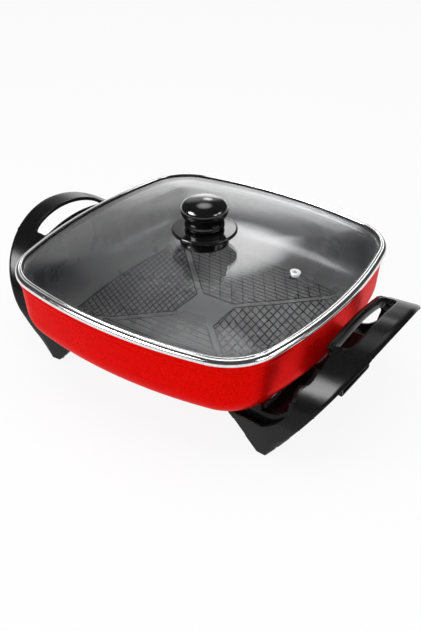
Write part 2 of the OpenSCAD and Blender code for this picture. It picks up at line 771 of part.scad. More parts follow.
vent_share = vent_reach / half_width;
vent_slope = atan((dome(vent_share - 0.02) - dome(vent_share + 0.02)) / (0.04 * half_width));

module at_vent() {
  translate([vent_reach, 6.5, glass_rim_top + dome(vent_share)]) rotate([0, vent_slope, 0]) children();
}

module lid_glass() {
  color([0.75, 0.8, 0.82, 0.35]) difference() {
    glass_plate();
    translate([0, 0, glass_under - over])
      cylinder(r = knob_screw_r + slide_gap, h = glass_thickness + 2 * over, $fn = 32);
    at_vent() translate([0, 0, -glass_thickness - 2]) cylinder(r = vent_barrel + fit_gap, h = glass_thickness + 5, $fn = 32);
  }
}
vent_barrel = vent_bore + 1;
vent_lip = 0.9;
vent_gap = 0.25;

module vent_eyelet() {
  color([0.85, 0.85, 0.85]) at_vent() rotate_extrude($fn = 48) polygon([
    [vent_bore, -glass_thickness - vent_gap - vent_lip], [vent_flange - 1, -glass_thickness - vent_gap - vent_lip],
    [vent_flange - 1, -glass_thickness - vent_gap], [vent_barrel, -glass_thickness - vent_gap],
    [vent_barrel, vent_gap], [vent_flange, vent_gap], [vent_flange - 0.3, vent_gap + vent_lip * 0.7],
    [vent_flange - 1.2, vent_gap + vent_lip], [vent_bore + 0.5, vent_gap + vent_lip],
    [vent_bore, vent_gap + vent_lip * 0.4]]);
}

// Knob: seat, heat guard, grip, all on one screw
seat_z = glass_top;
disc_z = seat_z + seat_height;
collar_z = disc_z + guard_thickness;
neck_z = collar_z + collar_height;
cap_top = neck_z + cap_height;
shaft_clear = knob_screw_r + slide_gap;
insert_radius = knob_screw_r + 1.6;
insert_length = 12;

module knob_seat() {
  color([0.04, 0.04, 0.04]) translate([0, 0, seat_z]) rotate_extrude($fn = 96) polygon(concat(
    [[shaft_clear, 0], [seat_radius - 3, 0]],
    [for (i = [0:4]) [seat_radius - 3 + 3 * sin(i * 22.5), 3 - 3 * cos(i * 22.5)]],
    [[seat_radius, seat_height], [shaft_clear, seat_height]]));
}

module knob_heat_guard() {
  edge = guard_thickness / 2;
  color([0.05, 0.05, 0.05]) translate([0, 0, disc_z]) rotate_extrude($fn = 96) polygon(concat(
    [[shaft_clear, 0]],
    [for (i = [0:6]) [guard_radius - edge + edge * cos(i * 30 - 90), edge + edge * sin(i * 30 - 90)]],
    [[neck_radius + 0.4, guard_thickness], [neck_radius, guard_thickness + 0.6],
     [neck_radius, guard_thickness + collar_height - neck_groove],
     [neck_radius - neck_groove, guard_thickness + collar_height],
     [shaft_clear, guard_thickness + collar_height]]));
}

cap_edge = cap_height * 0.62;

module knob_grip() {
  color([0.04, 0.04, 0.04]) translate([0, 0, neck_z]) difference() {
    rotate_extrude($fn = 96) polygon(concat(
      [[0, 0], [neck_radius - neck_groove, 0], [neck_radius, neck_groove]],
      [for (i = [1:4]) [neck_radius - 0.7 * sin(i * 45), neck_groove + (cap_edge - 9) * i / 4]],
      [for (i = [0:5]) let (a = -80 + i * 24)
        [cap_radius - 4 + 4 * cos(a), cap_edge + 4 * sin(a)]],
      [for (i = [1:8]) let (t = i / 8)
        [(cap_radius - 2.6) * cos(t * 90), cap_edge + 3.2 + (cap_height - cap_edge - 3.2) * sin(t * 90)]]));
    translate([0, 0, -over]) cylinder(r = insert_radius + fit_gap, h = insert_length + 1 + over, $fn = 32);
  }
}

module knob_insert() {
  color([0.8, 0.62, 0.3]) translate([0, 0, neck_z]) difference() {
    cylinder(r = insert_radius, h = insert_length, $fn = 32);
    translate([0, 0, -over]) cylinder(r = knob_screw_r + fit_gap, h = insert_length + 2 * over, $fn = 32);
  }
}

gasket_height = 1.5;
washer_height = 1.2;
washer_radius = 9;
washer_z = glass_under - gasket_height - washer_height;

module knob_gasket() {
  color([0.85, 0.85, 0.82]) translate([0, 0, glass_under - gasket_height]) difference() {
    cylinder(r = washer_radius + 1, h = gasket_height, $fn = 48);
    translate([0, 0, -over]) cylinder(r = shaft_clear, h = gasket_height + 2 * over, $fn = 32);
  }
}

module knob_washer() {
  color([0.75, 0.75, 0.75]) translate([0, 0, washer_z]) difference() {
    cylinder(r = washer_radius, h = washer_height, $fn = 48);
    translate([0, 0, -over]) cylinder(r = shaft_clear, h = washer_height + 2 * over, $fn = 32);
  }
}

module knob_screw() {
  color([0.75, 0.75, 0.75]) translate([0, 0, washer_z]) rotate([180, 0, 0])
    screw(knob_screw_r, neck_z - washer_z + insert_length - 1, 4.8, 3);
}

pan_body();
heating_element();
terminal_pins();
terminal_insulators();
probe_block();
probe_sleeve();
socket_guard();
guard_screws();
bracket_right();
bracket_left();
bracket_screws();
bracket_nuts();
handle_right();
handle_left();
handle_screws();
foot_pads();
lid_glass();
lid_rim();
lid_seal();
vent_eyelet();
knob_seat();
knob_heat_guard();
knob_grip();
knob_insert();
knob_screw();
knob_washer();
knob_gasket();
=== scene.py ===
# Square electric frying pan with a glass lid: the looks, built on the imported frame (metres)
import bisect
import json
import math

import bmesh
import bpy
from mathutils import Matrix, Vector

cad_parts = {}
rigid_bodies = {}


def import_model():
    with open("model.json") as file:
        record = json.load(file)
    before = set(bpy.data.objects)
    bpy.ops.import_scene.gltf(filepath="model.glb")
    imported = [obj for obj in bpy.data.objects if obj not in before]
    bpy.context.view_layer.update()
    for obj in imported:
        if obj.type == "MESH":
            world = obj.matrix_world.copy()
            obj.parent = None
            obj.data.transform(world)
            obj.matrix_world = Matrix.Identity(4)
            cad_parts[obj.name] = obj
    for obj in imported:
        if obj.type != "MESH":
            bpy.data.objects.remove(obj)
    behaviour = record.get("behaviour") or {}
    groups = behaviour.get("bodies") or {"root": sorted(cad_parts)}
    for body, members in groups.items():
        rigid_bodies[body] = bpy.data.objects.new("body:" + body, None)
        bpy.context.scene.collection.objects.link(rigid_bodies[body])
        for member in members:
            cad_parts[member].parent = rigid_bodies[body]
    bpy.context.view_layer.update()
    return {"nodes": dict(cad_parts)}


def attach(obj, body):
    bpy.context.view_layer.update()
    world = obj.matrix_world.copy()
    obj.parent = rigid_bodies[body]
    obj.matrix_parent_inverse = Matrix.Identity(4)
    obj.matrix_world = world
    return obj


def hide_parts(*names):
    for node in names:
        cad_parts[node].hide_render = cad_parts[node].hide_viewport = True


for thing in list(bpy.data.objects):
    bpy.data.objects.remove(thing)
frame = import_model()
scene = bpy.context.scene
mm = 0.001
tiny = 1e-7
print("frame:", len(frame["nodes"]), "nodes")


def addObject(name, data):
    thing = bpy.data.objects.new(name, data)
    scene.collection.objects.link(thing)
    return thing


def storeMesh(name, mesh):
    shape = bpy.data.meshes.new(name)
    mesh.to_mesh(shape)
    mesh.free()
    return shape


def clearTree(holder):
    holder.use_nodes = True
    holder.node_tree.nodes.clear()
    return holder.node_tree


# Camera at the photograph's viewing angle. Its focal length and height are in the photograph's pixels
cameraView = dict(
    turn=35.3, rise=33.95, roll=-0.2, distance=0.915, aim=(0.0298, -0.0323, 0.085), sensor=36, focal=910, height=631,
)


# The way from the middle to a place, by its turn from -Y towards +X and its rise
def wayTo(turn, rise):
    turn, rise = math.radians(turn), math.radians(rise)
    return Vector((math.sin(turn) * math.cos(rise), -math.cos(turn) * math.cos(rise), math.sin(rise)))


def makeCamera(view):
    turn, roll = math.radians(view["turn"]), math.radians(view["roll"])
    back = wayTo(view["turn"], view["rise"])
    right = Vector((math.cos(turn), math.sin(turn), 0))
    up = back.cross(right)
    across = math.cos(roll) * right + math.sin(roll) * up
    upward = math.cos(roll) * up - math.sin(roll) * right
    lens = bpy.data.cameras.new("photoCamera")
    lens.lens = view["sensor"] * view["focal"] / view["height"]
    lens.sensor_width = view["sensor"]
    lens.clip_start = 0.01
    lens.clip_end = 60
    camera = addObject("photoCamera", lens)
    place = Matrix((across, upward, back)).transposed().to_4x4()
    place.translation = Vector(view["aim"]) + back * view["distance"]
    camera.matrix_world = place
    scene.camera = camera


makeCamera(cameraView)
scene.view_settings.view_transform = "Standard"
print("camera set")


# Materials: a value goes into a socket, and another node's output is linked to it
def join(tree, value, socket):
    if isinstance(value, bpy.types.NodeSocket):
        tree.links.new(value, socket)
    else:
        socket.default_value = value


# Fills a node's inputs by name, with _ for each space
def feed(tree, node, **values):
    for key, value in values.items():
        join(tree, value, node.inputs[key.replace("_", " ")])
    return node


def addNode(tree, kind, **values):
    node = tree.nodes.new("ShaderNode" + kind)
    for key in [k for k in values if hasattr(node, k)]:
        setattr(node, key, values.pop(key))
    return feed(tree, node, **values)


# A node whose inputs are filled in their order
def orderedNode(tree, kind, *values, **settings):
    node = addNode(tree, kind, **settings)
    for value, socket in zip(values, node.inputs):
        join(tree, value, socket)
    return node.outputs


def newSurface(name):
    surface = bpy.data.materials.new(name)
    surface.use_nodes = True
    tree = surface.node_tree
    return surface, tree, tree.nodes["Principled BSDF"], addNode(tree, "TexCoord").outputs["Object"]


# Detail and roughness of each kind of noise
noiseKinds = dict(grain=(4, 0.6), wear=(5, 0.65), fine=(2, 0.5), fleck=(2, 0.6), smear=(5, 0.6))
plainIor = 1.5


def noiseOn(tree, place, scale, kind, stretch=None):
    if stretch:
        place = addNode(tree, "Mapping", Vector=place, Scale=stretch).outputs["Vector"]
    detail, rough = noiseKinds[kind]
    noise = addNode(tree, "TexNoise", Vector=place, Scale=scale, Detail=detail, Roughness=rough)
    return noise.outputs["Fac"]


def spread(tree, value, low, high, fromLow=0.35, fromHigh=0.65):
    return orderedNode(tree, "MapRange", value, fromLow, fromHigh, low, high)["Result"]


def tint(tree, value, dark, light, fromLow=0.35, fromHigh=0.65):
    ramp = addNode(tree, "ValToRGB", Fac=value)
    for stop, position, colour in zip(ramp.color_ramp.elements, (fromLow, fromHigh), (dark, light)):
        stop.position = position
        stop.color = (*colour, 1)
    return ramp.outputs["Color"]


def bumpFrom(tree, value, depth, under=None):
    bump = addNode(tree, "Bump", Height=value, Distance=depth, Strength=1)
    if under:
        join(tree, under, bump.inputs["Normal"])
    return bump.outputs["Normal"]


# The broad part of a bump: how much coarser and deeper it is than the fine part
broadBump = dict(scale=0.13, depth=3)


# Every finish is grain in the colour, wear in the roughness and a fine bump
def grainSurface(look):
    surface, tree, shader, place = newSurface(look["name"])
    stretch = look.get("stretch")
    scale, depth = look["bump"]
    grain = noiseOn(tree, place, look["grain"], "grain", stretch)
    wear = noiseOn(tree, place, look["wear"], "wear", stretch)
    fine = noiseOn(tree, place, scale, "fine", stretch)
    broad = noiseOn(tree, place, scale * broadBump["scale"], "fine")
    feed(tree, shader, Metallic=look.get("metal", 0), IOR=plainIor, Specular_IOR_Level=look.get("gloss", 0.5),
         Coat_Weight=look.get("coat", 0), Coat_Roughness=look.get("coatRough", 0.1), Coat_IOR=plainIor,
         Base_Color=tint(tree, grain, look["dark"], look["light"]), Roughness=spread(tree, wear, *look["rough"]),
         Normal=bumpFrom(tree, fine, depth, bumpFrom(tree, broad, depth * broadBump["depth"])))
    return surface


finishes = {
    "blackPlastic": dict(
        dark=(0.005, 0.005, 0.0055), light=(0.008, 0.008, 0.0085), grain=340, gloss=0.12, wear=24,
        rough=(0.16, 0.21), bump=(700, 3e-6)),
    "knobPlastic": dict(
        dark=(0.003, 0.003, 0.0033), light=(0.006, 0.006, 0.0065), grain=260, gloss=0.45, wear=30,
        rough=(0.07, 0.12), bump=(420, 2e-6)),
    "rimSteel": dict(
        dark=(0.72, 0.72, 0.73), light=(0.84, 0.84, 0.84), grain=300, metal=1, wear=60, rough=(0.09, 0.14),
        bump=(500, 4e-7)),
    "satinSteel": dict(
        dark=(0.78, 0.78, 0.78), light=(0.88, 0.88, 0.88), grain=300, metal=0.3, wear=60, rough=(0.24, 0.34),
        bump=(500, 5e-7)),
    "platedSteel": dict(
        dark=(0.5, 0.5, 0.52), light=(0.7, 0.7, 0.7), grain=220, metal=1, wear=90, rough=(0.24, 0.42),
        bump=(700, 1e-5), stretch=(1, 8, 1)),
    "castAluminium": dict(
        dark=(0.34, 0.34, 0.35), light=(0.52, 0.52, 0.53), grain=240, metal=1, wear=140, rough=(0.42, 0.6),
        bump=(800, 3e-5)),
    "elementSheath": dict(
        dark=(0.16, 0.13, 0.11), light=(0.34, 0.31, 0.29), grain=90, metal=1, wear=120, rough=(0.38, 0.6),
        bump=(900, 2e-5)),
    "porcelain": dict(
        dark=(0.66, 0.62, 0.54), light=(0.8, 0.77, 0.7), grain=160, wear=90, rough=(0.45, 0.65), bump=(800, 3e-5)),
    "padRubber": dict(
        dark=(0.014, 0.014, 0.014), light=(0.032, 0.032, 0.033), grain=420, wear=150, rough=(0.62, 0.82),
        bump=(1100, 4e-5)),
    "sealRubber": dict(
        dark=(0.012, 0.012, 0.013), light=(0.026, 0.026, 0.027), grain=300, wear=110, rough=(0.42, 0.58),
        bump=(900, 2e-5)),
    "turnedBrass": dict(
        dark=(0.5, 0.34, 0.11), light=(0.66, 0.47, 0.18), grain=260, metal=1, wear=120, rough=(0.2, 0.34),
        bump=(900, 1e-5), stretch=(1, 1, 9)),
}
finishes["capPlastic"] = dict(finishes["knobPlastic"], gloss=0.2, coat=1, coatRough=0.13, rough=(0.08, 0.14))
surfaces = {name: grainSurface(dict(look, name=name)) for name, look in finishes.items()}

enamelLook = dict(
    deep=(0.54, 0.0012, 0.0006), bright=(0.8, 0.005, 0.002), ramp=(0.4, 0.85), metal=0.62, gloss=0.05,
    glossTint=(1, 0.1, 0.07), peel=620, peelDepth=0.000035, cloud=26, spark=1500, sparkShare=0.35, sparkDepth=0.25,
    rough=(0.26, 0.36),
)


# Red enamel: orange peel and fine sparks
def enamelSurface(look):
    surface, tree, shader, place = newSurface("redEnamel")
    peel = noiseOn(tree, place, look["peel"], "fine")
    cloud = noiseOn(tree, place, look["cloud"], "grain")
    sparks = addNode(tree, "TexVoronoi", Vector=place, Scale=look["spark"]).outputs["Distance"]
    mixed = orderedNode(tree, "Math", sparks, look["sparkShare"], peel, operation="MULTIPLY_ADD")["Value"]
    normal = bumpFrom(tree, peel, look["peelDepth"])
    feed(tree, shader, Metallic=look["metal"], Specular_IOR_Level=look["gloss"], IOR=plainIor,
         Specular_Tint=(*look["glossTint"], 1),
         Base_Color=tint(tree, mixed, look["deep"], look["bright"], *look["ramp"]),
         Roughness=spread(tree, cloud, *look["rough"]),
         Normal=bumpFrom(tree, sparks, look["peelDepth"] * look["sparkDepth"], normal))
    return surface


# The coat's colours go from the floor's to the walls' darker colours between floorTop and wallLow; the darker walls
# are painted shade
coatLook = dict(
    floorDark=(0.08, 0.08, 0.081), floorLight=(0.112, 0.112, 0.113), wallShadeDark=(0.048, 0.049, 0.054),
    wallShadeLight=(0.078, 0.08, 0.086), grooveShadeDark=(0.024, 0.024, 0.025), grooveShadeLight=(0.04, 0.04, 0.042), floorTop=0.064,
    wallLow=0.086, fleck=1300, fleckRamp=(0.3, 0.7), cloud=18, rough=(0.25, 0.33), gloss=0.27, grooveGloss=0.05,
    fleckDepth=0.000005,
)


# Non-stick coat: grey with fine flecks, with painted shade darkening it up the walls
def coatSurface(look, name, dark, light, gloss):
    surface, tree, shader, place = newSurface(name)
    flecks = noiseOn(tree, place, look["fleck"], "fleck")
    cloud = noiseOn(tree, place, look["cloud"], "grain")
    height = orderedNode(tree, "SeparateXYZ", place)["Z"]
    # Painted shade: the coat turns to the darker wall colours going up the walls
    up = spread(tree, height, 0, 1, look["floorTop"], look["wallLow"])
    floor = tint(tree, flecks, look[dark], look[light], *look["fleckRamp"])
    wall = tint(tree, flecks, look["wallShadeDark"], look["wallShadeLight"], *look["fleckRamp"])
    feed(tree, shader, Specular_IOR_Level=look[gloss],
         Base_Color=orderedNode(tree, "MixRGB", up, floor, wall)["Color"],
         Roughness=spread(tree, cloud, *look["rough"]), Normal=bumpFrom(tree, flecks, look["fleckDepth"]))
    return surface


glassLook = dict(tint=(0.955, 0.958, 0.965), ior=1.27, smear=14, rough=(0.004, 0.01))


# Toughened glass: clear, with the faintest smears
def glassSurface(look):
    surface, tree, shader, place = newSurface("clearGlass")
    feed(tree, shader, Base_Color=(*look["tint"], 1), Transmission_Weight=1, IOR=look["ior"],
         Roughness=spread(tree, noiseOn(tree, place, look["smear"], "smear"), *look["rough"]))
    return surface


surfaces["redEnamel"] = enamelSurface(enamelLook)
surfaces["nonStickCoat"] = coatSurface(coatLook, "nonStickCoat", "floorDark", "floorLight", "gloss")
# The groove coat's darker colours are painted shade in the floor's grooves
surfaces["grooveShadeCoat"] = coatSurface(coatLook, "grooveShadeCoat", "grooveShadeDark", "grooveShadeLight", "grooveGloss")
surfaces["clearGlass"] = glassSurface(glassLook)
print("materials:", len(surfaces))


# Shared ways to make a piece
def finishPiece(name, mesh, body, slot, node, *skins, smoothUnder=34):
    shape = storeMesh(name, mesh)
    for skin in skins:
        shape.materials.append(surfaces[skin])
    for face in shape.polygons:
        face.use_smooth = True
    shape.set_sharp_from_angle(angle=math.radians(smoothUnder))
    piece = addObject(name, shape)
    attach(piece, body)
    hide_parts(node)
    return piece


def lineOf(mesh, points):
    spots = [mesh.verts.new(Vector(p)) for p in points]
    return spots, [mesh.edges.new(pair) for pair in zip(spots, spots[1:])]


def loopOf(mesh, points):
    spots, lines = lineOf(mesh, points)
    return spots, lines + [mesh.edges.new((spots[-1], spots[0]))]


def pick(values, names):
    return [values[name] for name in names.split()]


def wayAt(degrees):
    return math.cos(math.radians(degrees)), math.sin(math.radians(degrees))


def outwards(mesh):
    bmesh.ops.recalc_face_normals(mesh, faces=mesh.faces[:])


def vertsIn(geom):
    return [g for g in geom if isinstance(g, bmesh.types.BMVert)]


def facesIn(geom):
    return [g for g in geom if isinstance(g, bmesh.types.BMFace)]


def edgesAmong(geom, spots):
    return [g for g in geom if isinstance(g, bmesh.types.BMEdge) and g.verts[0] in spots and g.verts[1] in spots]


# Draws a line or ring out: all that is new, its vertices and its far edges
def drawOut(mesh, edges):
    grown = bmesh.ops.extrude_edge_only(mesh, edges=edges)["geom"]
    fresh = set(vertsIn(grown))
    return grown, fresh, edgesAmong(grown, fresh)


# A turned mesh from its half section, given as (radius, height) in mm from the axis up
def turnedMesh(section, steps=96, closed=True):
    mesh = bmesh.new()
    spots, lines = (loopOf if closed else lineOf)(mesh, [(r * mm, 0, z * mm) for r, z in section])
    bmesh.ops.spin(mesh, geom=spots + lines, cent=(0, 0, 0), axis=(0, 0, 1), angle=math.tau, steps=steps,
                   use_merge=True)
    bmesh.ops.remove_doubles(mesh, verts=mesh.verts[:], dist=1e-6)
    outwards(mesh)
    return mesh


def arcPoints(centre, radius, start, end, steps):
    ways = [wayAt(start + (end - start) * i / steps) for i in range(steps + 1)]
    return [(centre[0] + radius * across, centre[1] + radius * up) for across, up in ways]


# A curve from a to c that leans towards b
def quadCurve(a, b, c, steps):
    return [tuple(a[k] * (1 - t) ** 2 + 2 * b[k] * t * (1 - t) + c[k] * t * t for k in (0, 1))
            for t in (i / steps for i in range(steps + 1))]


# Rim outline: four shallow side arcs joined by four corner arcs
rimOutline = dict(
    halfWidth=162, cornerExtra=28, cornerRadius=60, sideSteps=30, cornerSteps=26, insetLimit=50, shrinkPower=0.45,
)


class RimTrack:
    def __init__(self, values):
        self.half, self.corner = values["halfWidth"], values["cornerRadius"]
        self.sideSteps, self.cornerSteps = values["sideSteps"], values["cornerSteps"]
        self.limit, self.power = values["insetLimit"], values["shrinkPower"]
        self.mid = (self.half + values["cornerExtra"] - self.corner) / math.sqrt(2)
        span = self.half - self.corner
        self.centre = (2 * self.mid ** 2 - span ** 2) / (2 * (span - self.mid))
        self.angle = math.atan2(self.mid, self.mid + self.centre)
        self.count = 4 * (self.sideSteps + self.cornerSteps)

    # Place on the track, moved inwards by inset; past the limit the ring shrinks instead
    def place(self, index, inset, z):
        scale, shrunk = 1, inset > self.limit
        if shrunk:
            scale = (self.half - inset) / (self.half - self.limit)
            inset = self.limit
        quarter, step = divmod(index % self.count, self.sideSteps + self.cornerSteps)
        if step < self.sideSteps:
            a = self.angle * (2 * step / self.sideSteps - 1)
            reach = self.half + self.centre - inset
            x, y = reach * math.cos(a) - self.centre, reach * math.sin(a)
        else:
            a = self.angle + (math.pi / 2 - 2 * self.angle) * (step - self.sideSteps) / self.cornerSteps
            x = self.mid + (self.corner - inset) * math.cos(a)
            y = self.mid + (self.corner - inset) * math.sin(a)
        turn = Matrix.Rotation(quarter * math.pi / 2, 2)
        x, y = turn @ Vector((x, y))
        if shrunk:
            reach = math.hypot(x, y)
            scale *= 1 + ((self.half - self.limit) / reach - 1) * (1 - scale) ** self.power
        return Vector((x * scale, y * scale, z)) * mm


track = RimTrack(rimOutline)


# Rings remember each vertex's step along the track and its inset
def startRing(mesh, inset, z):
    stepKey = mesh.verts.layers.int.new("along")
    insetKey = mesh.verts.layers.float.new("inset")
    spots = bmesh.ops.create_circle(mesh, segments=track.count, radius=1)["verts"]
    for index, spot in enumerate(spots):
        spot[stepKey] = index
        spot[insetKey] = inset
        spot.co = track.place(index, inset, z)
    return edgesAmong(mesh.edges, set(spots))


def growRing(mesh, edges, inset, z, skin=0):
    stepKey = mesh.verts.layers.int["along"]
    insetKey = mesh.verts.layers.float["inset"]
    grown, spots, ring = drawOut(mesh, edges)
    for spot in spots:
        spot[insetKey] = inset
        spot.co = track.place(spot[stepKey], inset, z)
    for face in facesIn(grown):
        face.material_index = skin
    return ring


# Follows a section of (inset, height) points round the rim and returns the first and last ring
def sweepSection(mesh, section):
    first = ring = startRing(mesh, *section[0])
    for inset, z in section[1:]:
        ring = growRing(mesh, ring, inset, z)
    return first, ring


def sweptMesh(section):
    mesh = bmesh.new()
    first, last = sweepSection(mesh, section)
    bmesh.ops.bridge_loops(mesh, edges=first + last)
    outwards(mesh)
    return mesh


# Pan body: red outside, non-stick inside, floor with four grooved fields.
# The bead's points are (inset, height), counted from its foot, the rim, the inside of its top and the inner wall
panShape = dict(
    rim=127.5, base=58, wall=3.2, floor=4.5, draft=4.7, fillet=33, inset=4.2, beadStep=1.7, beadHeight=6.6,
    filletSteps=14, fittingsTop=58.3, beadSide=[(0.9, -0.75), (0.35, -0.2), (0.05, 0.5), (0, 1.6)],
    beadCrown=[(0, -2), (0.15, -0.9), (0.45, -0.3), (0.9, 0)], beadInside=[(-0.9, 0), (-0.25, -0.3), (0, -0.9)],
    ledge=[(0.05, -2.2), (0.2, -3.4)], ledgeDrop=0.4, square=24, band=5.6, fieldEdge=4, groove=0.7, grooveDepth=0.9,
)

# Lines across each field: (turn of the line's normal, pitch, half width, depth)
fieldPattern = dict(
    near=[(90, 8, 0.7, 0.8)],
    right=[(4.5, 8, 0.7, 0.75), (61, 8, 0.7, 0.75)],
    far=[(90, 6, 0.6, 0.7), (35, 12, 0.6, 0.6)],
    left=[(4.5, 6, 0.6, 0.7), (61, 6, 0.6, 0.7)],
)
fieldLines = dict(phase=0.35, most=26)


def filletPart(start, floor, radius, wallTop, draft, steps):
    centre = start + (wallTop - floor - radius) * math.tan(draft) + radius / math.cos(draft)
    turns = [-math.pi / 2 + (math.pi / 2 - draft) * i / steps for i in range(steps + 1)]
    return [(centre - radius * math.cos(a), floor + radius + radius * math.sin(a)) for a in turns]


# Cuts those faces that cross the plane and returns the set with the new faces in it
def cutFaces(mesh, parts, point, normal):
    crossed = []
    for face in parts:
        sides = [(c.co - point).dot(normal) for c in face.verts]
        if min(sides) < -tiny and max(sides) > tiny:
            crossed.append(face)
    if not crossed:
        return parts
    geom = crossed + list({e for f in crossed for e in f.edges}) + list({c for f in crossed for c in f.verts})
    cut = bmesh.ops.bisect_plane(mesh, geom=geom, dist=tiny, plane_co=point, plane_no=normal)
    return {f for f in parts | set(facesIn(cut["geom"])) if f.is_valid}


# The field that a spot on the floor lies in, with its distance past the inner square and from the band
def fieldAt(spot, v):
    x, y = spot.x / mm, spot.y / mm
    kind = ("right" if x > 0 else "left") if abs(x) > abs(y) else ("far" if y > 0 else "near")
    far, near = max(abs(x), abs(y)), min(abs(x), abs(y))
    return kind, far - v["square"], (far - near) / math.sqrt(2) - v["band"] / 2


def makePanBody(v):
    mesh = bmesh.new()
    rim, base, wall, fillet, inset, steps, groove = pick(v, "rim base wall fillet inset filletSteps groove")
    draft = math.radians(v["draft"])
    beadFoot = rim - v["beadHeight"]
    wallTop = beadFoot - v["beadStep"]
    bead = inset - v["beadStep"]
    beadInner = bead + wall
    outer = filletPart(inset, base, fillet, wallTop, draft, steps) + [(inset, wallTop)]
    outer += [(bead + x, beadFoot + z) for x, z in v["beadSide"]] + [(bead + x, rim + z) for x, z in v["beadCrown"]]
    inside = [(beadInner + x, rim + z) for x, z in v["beadInside"]]
    outer.append(inside[0])
    innerInset = inset + wall / math.cos(draft)
    floor = base + v["floor"]
    inner = inside[1:] + [(beadInner, beadFoot - v["ledgeDrop"])]
    inner += [(innerInset + x, beadFoot + z) for x, z in v["ledge"]]
    inner += filletPart(innerInset, floor, fillet - wall, wallTop, draft, steps)[::-1]
    start = inner[-1][0] + v["fieldEdge"]
    inner += [(start, floor), (start + groove, floor), (start + 2 * groove, floor)]
    first, last = sweepSection(mesh, outer)
    for x, z in inner:
        last = growRing(mesh, last, x, z, skin=1)
    bmesh.ops.contextual_create(mesh, geom=first)
    pad = bmesh.ops.contextual_create(mesh, geom=last)["faces"]
    outwards(mesh)
    for face in pad:
        face.material_index = 1
    cutFloor(mesh, v, floor, start)
    return finishPiece("panBody", mesh, "pan", "enamel", "pan_body", "redEnamel", "nonStickCoat", "grooveShadeCoat",
                       smoothUnder=30)


# Cuts the fields' edges and lines into the floor, then lowers what lies in a groove and gives it the darker groove
# coat, painted shade in the grooves
def cutFloor(mesh, v, floor, start):
    groove, near = v["groove"], 1e-3
    phase, most = fieldLines["phase"], fieldLines["most"]
    insetKey = mesh.verts.layers.float["inset"]
    parts = {f for f in mesh.faces if all(abs(c.co.z - floor * mm) < tiny for c in f.verts)}
    cuts = [(Vector(p), v["square"]) for p in ((1, 0, 0), (-1, 0, 0), (0, 1, 0), (0, -1, 0))]
    cuts += [(Vector(p).normalized(), v["band"] / 2) for p in ((1, 1, 0), (1, -1, 0), (-1, 1, 0), (-1, -1, 0))]
    for step in (0, groove, 2 * groove):
        for way, reach in cuts:
            parts = cutFaces(mesh, parts, way * (reach + step) * mm, way)
    lowered = {}
    inside = {}
    for face in parts:
        kind, past, aside = fieldAt(face.calc_center_median(), v)
        edge = min(c[insetKey] for c in face.verts) - start
        if past > 2 * groove and aside > 2 * groove and edge > 2 * groove - near:
            inside.setdefault(kind, set()).add(face)
    for spot in {c for f in parts for c in f.verts}:
        kind, past, aside = fieldAt(spot.co, v)
        gaps = [value - groove for value in (past, aside, spot[insetKey] - start)]
        if min(gaps) > -near and min(abs(gap) for gap in gaps) < near:
            lowered[spot] = v["grooveDepth"]
    for kind, faces in sorted(inside.items()):
        lines = [(Vector((*wayAt(turn), 0)), pitch, half, depth) for turn, pitch, half, depth in fieldPattern[kind]]
        for normal, pitch, half, depth in lines:
            for step in range(-most, most + 1):
                for shift in (-half, 0, half):
                    faces = cutFaces(mesh, faces, normal * ((step + phase) * pitch + shift) * mm, normal)
        for spot in {c for f in faces for c in f.verts}:
            for normal, pitch, half, depth in lines:
                share = spot.co.dot(normal) / mm / pitch - phase
                if abs(share - round(share)) * pitch < 2 * near:
                    lowered[spot] = max(depth, lowered.get(spot, 0))
    for spot, depth in lowered.items():
        spot.co.z = (floor - depth) * mm
        # Groove faces take the darker coat: painted shade in the grooves
        for face in spot.link_faces:
            face.material_index = 2


panBody = makePanBody(panShape)
print("pan body:", len(panBody.data.polygons), "faces")


# Boss posts and ribs under the base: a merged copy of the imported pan, cut off at its underside
def makePanFittings(v):
    mesh = bmesh.new()
    mesh.from_mesh(frame["nodes"]["pan_body"].data)
    bmesh.ops.remove_doubles(mesh, verts=mesh.verts[:], dist=2e-6)
    bmesh.ops.bisect_plane(mesh, geom=mesh.faces[:] + mesh.edges[:] + mesh.verts[:], dist=tiny,
                           plane_co=(0, 0, v["fittingsTop"] * mm), plane_no=(0, 0, 1), clear_outer=True)
    bmesh.ops.dissolve_limit(mesh, angle_limit=math.radians(2), verts=mesh.verts[:], edges=mesh.edges[:])
    finishPiece("panFittings", mesh, "pan", "enamel", "pan_body", "redEnamel", smoothUnder=30)


# Steel band round the glass: a rolled section with a groove for the seal and a skirt inside the pan
rimBand = dict(
    low=127.5, top=134.9, width=6.9, sheet=1.1, grooveInset=4.2, grooveHigh=134.2, skirtInset=6.3, skirtDrop=6,
    crown=(4.2, 4.1), lip=1.15, recess=(1.7, 0.9),
)


def makeLidRim(v):
    low, top, width, sheet, lip = pick(v, "low top width sheet lip")
    groove, high, skirt = pick(v, "grooveInset grooveHigh skirtInset")
    wide, tall = v["crown"]
    inset, step = v["recess"]
    section = [(inset, low), (inset, low + step - 0.2), (0.75, low + step), (0.25, low + 1.25), (0.02, low + 1.8),
               (0, low + 2.6)]
    section += [(wide * (1 - x), low + 2.6 + tall * y) for x, y in map(wayAt, range(12, 85, 12))]
    section += [(wide + 0.25, low + 2.25 + tall)]
    section += [(width - lip * (1 + x), top - lip * (1 - y)) for x, y in map(wayAt, range(10, 175, 16))]
    section += [(width - 0.25, high), (groove, high), (groove, low + sheet), (width - 0.15, low + sheet),
                (width, low + sheet - 0.2), (width, low + 0.2)]
    reach, foot = skirt + sheet, low - v["skirtDrop"]
    section += [(reach, low), (reach, foot + 0.3), (reach - 0.3, foot), (skirt + 0.3, foot), (skirt, foot + 0.3),
                (skirt, low)]
    finishPiece("lidRim", sweptMesh(section), "lid", "rim_steel", "lid_rim", "rimSteel", smoothUnder=40)


# Silicone seal, folded round the edge of the glass
sealBand = dict(outer=4.3, edge=5.1, lip=7.3, low=128.7, glassLow=129.3, glassHigh=133.5, high=134.1)


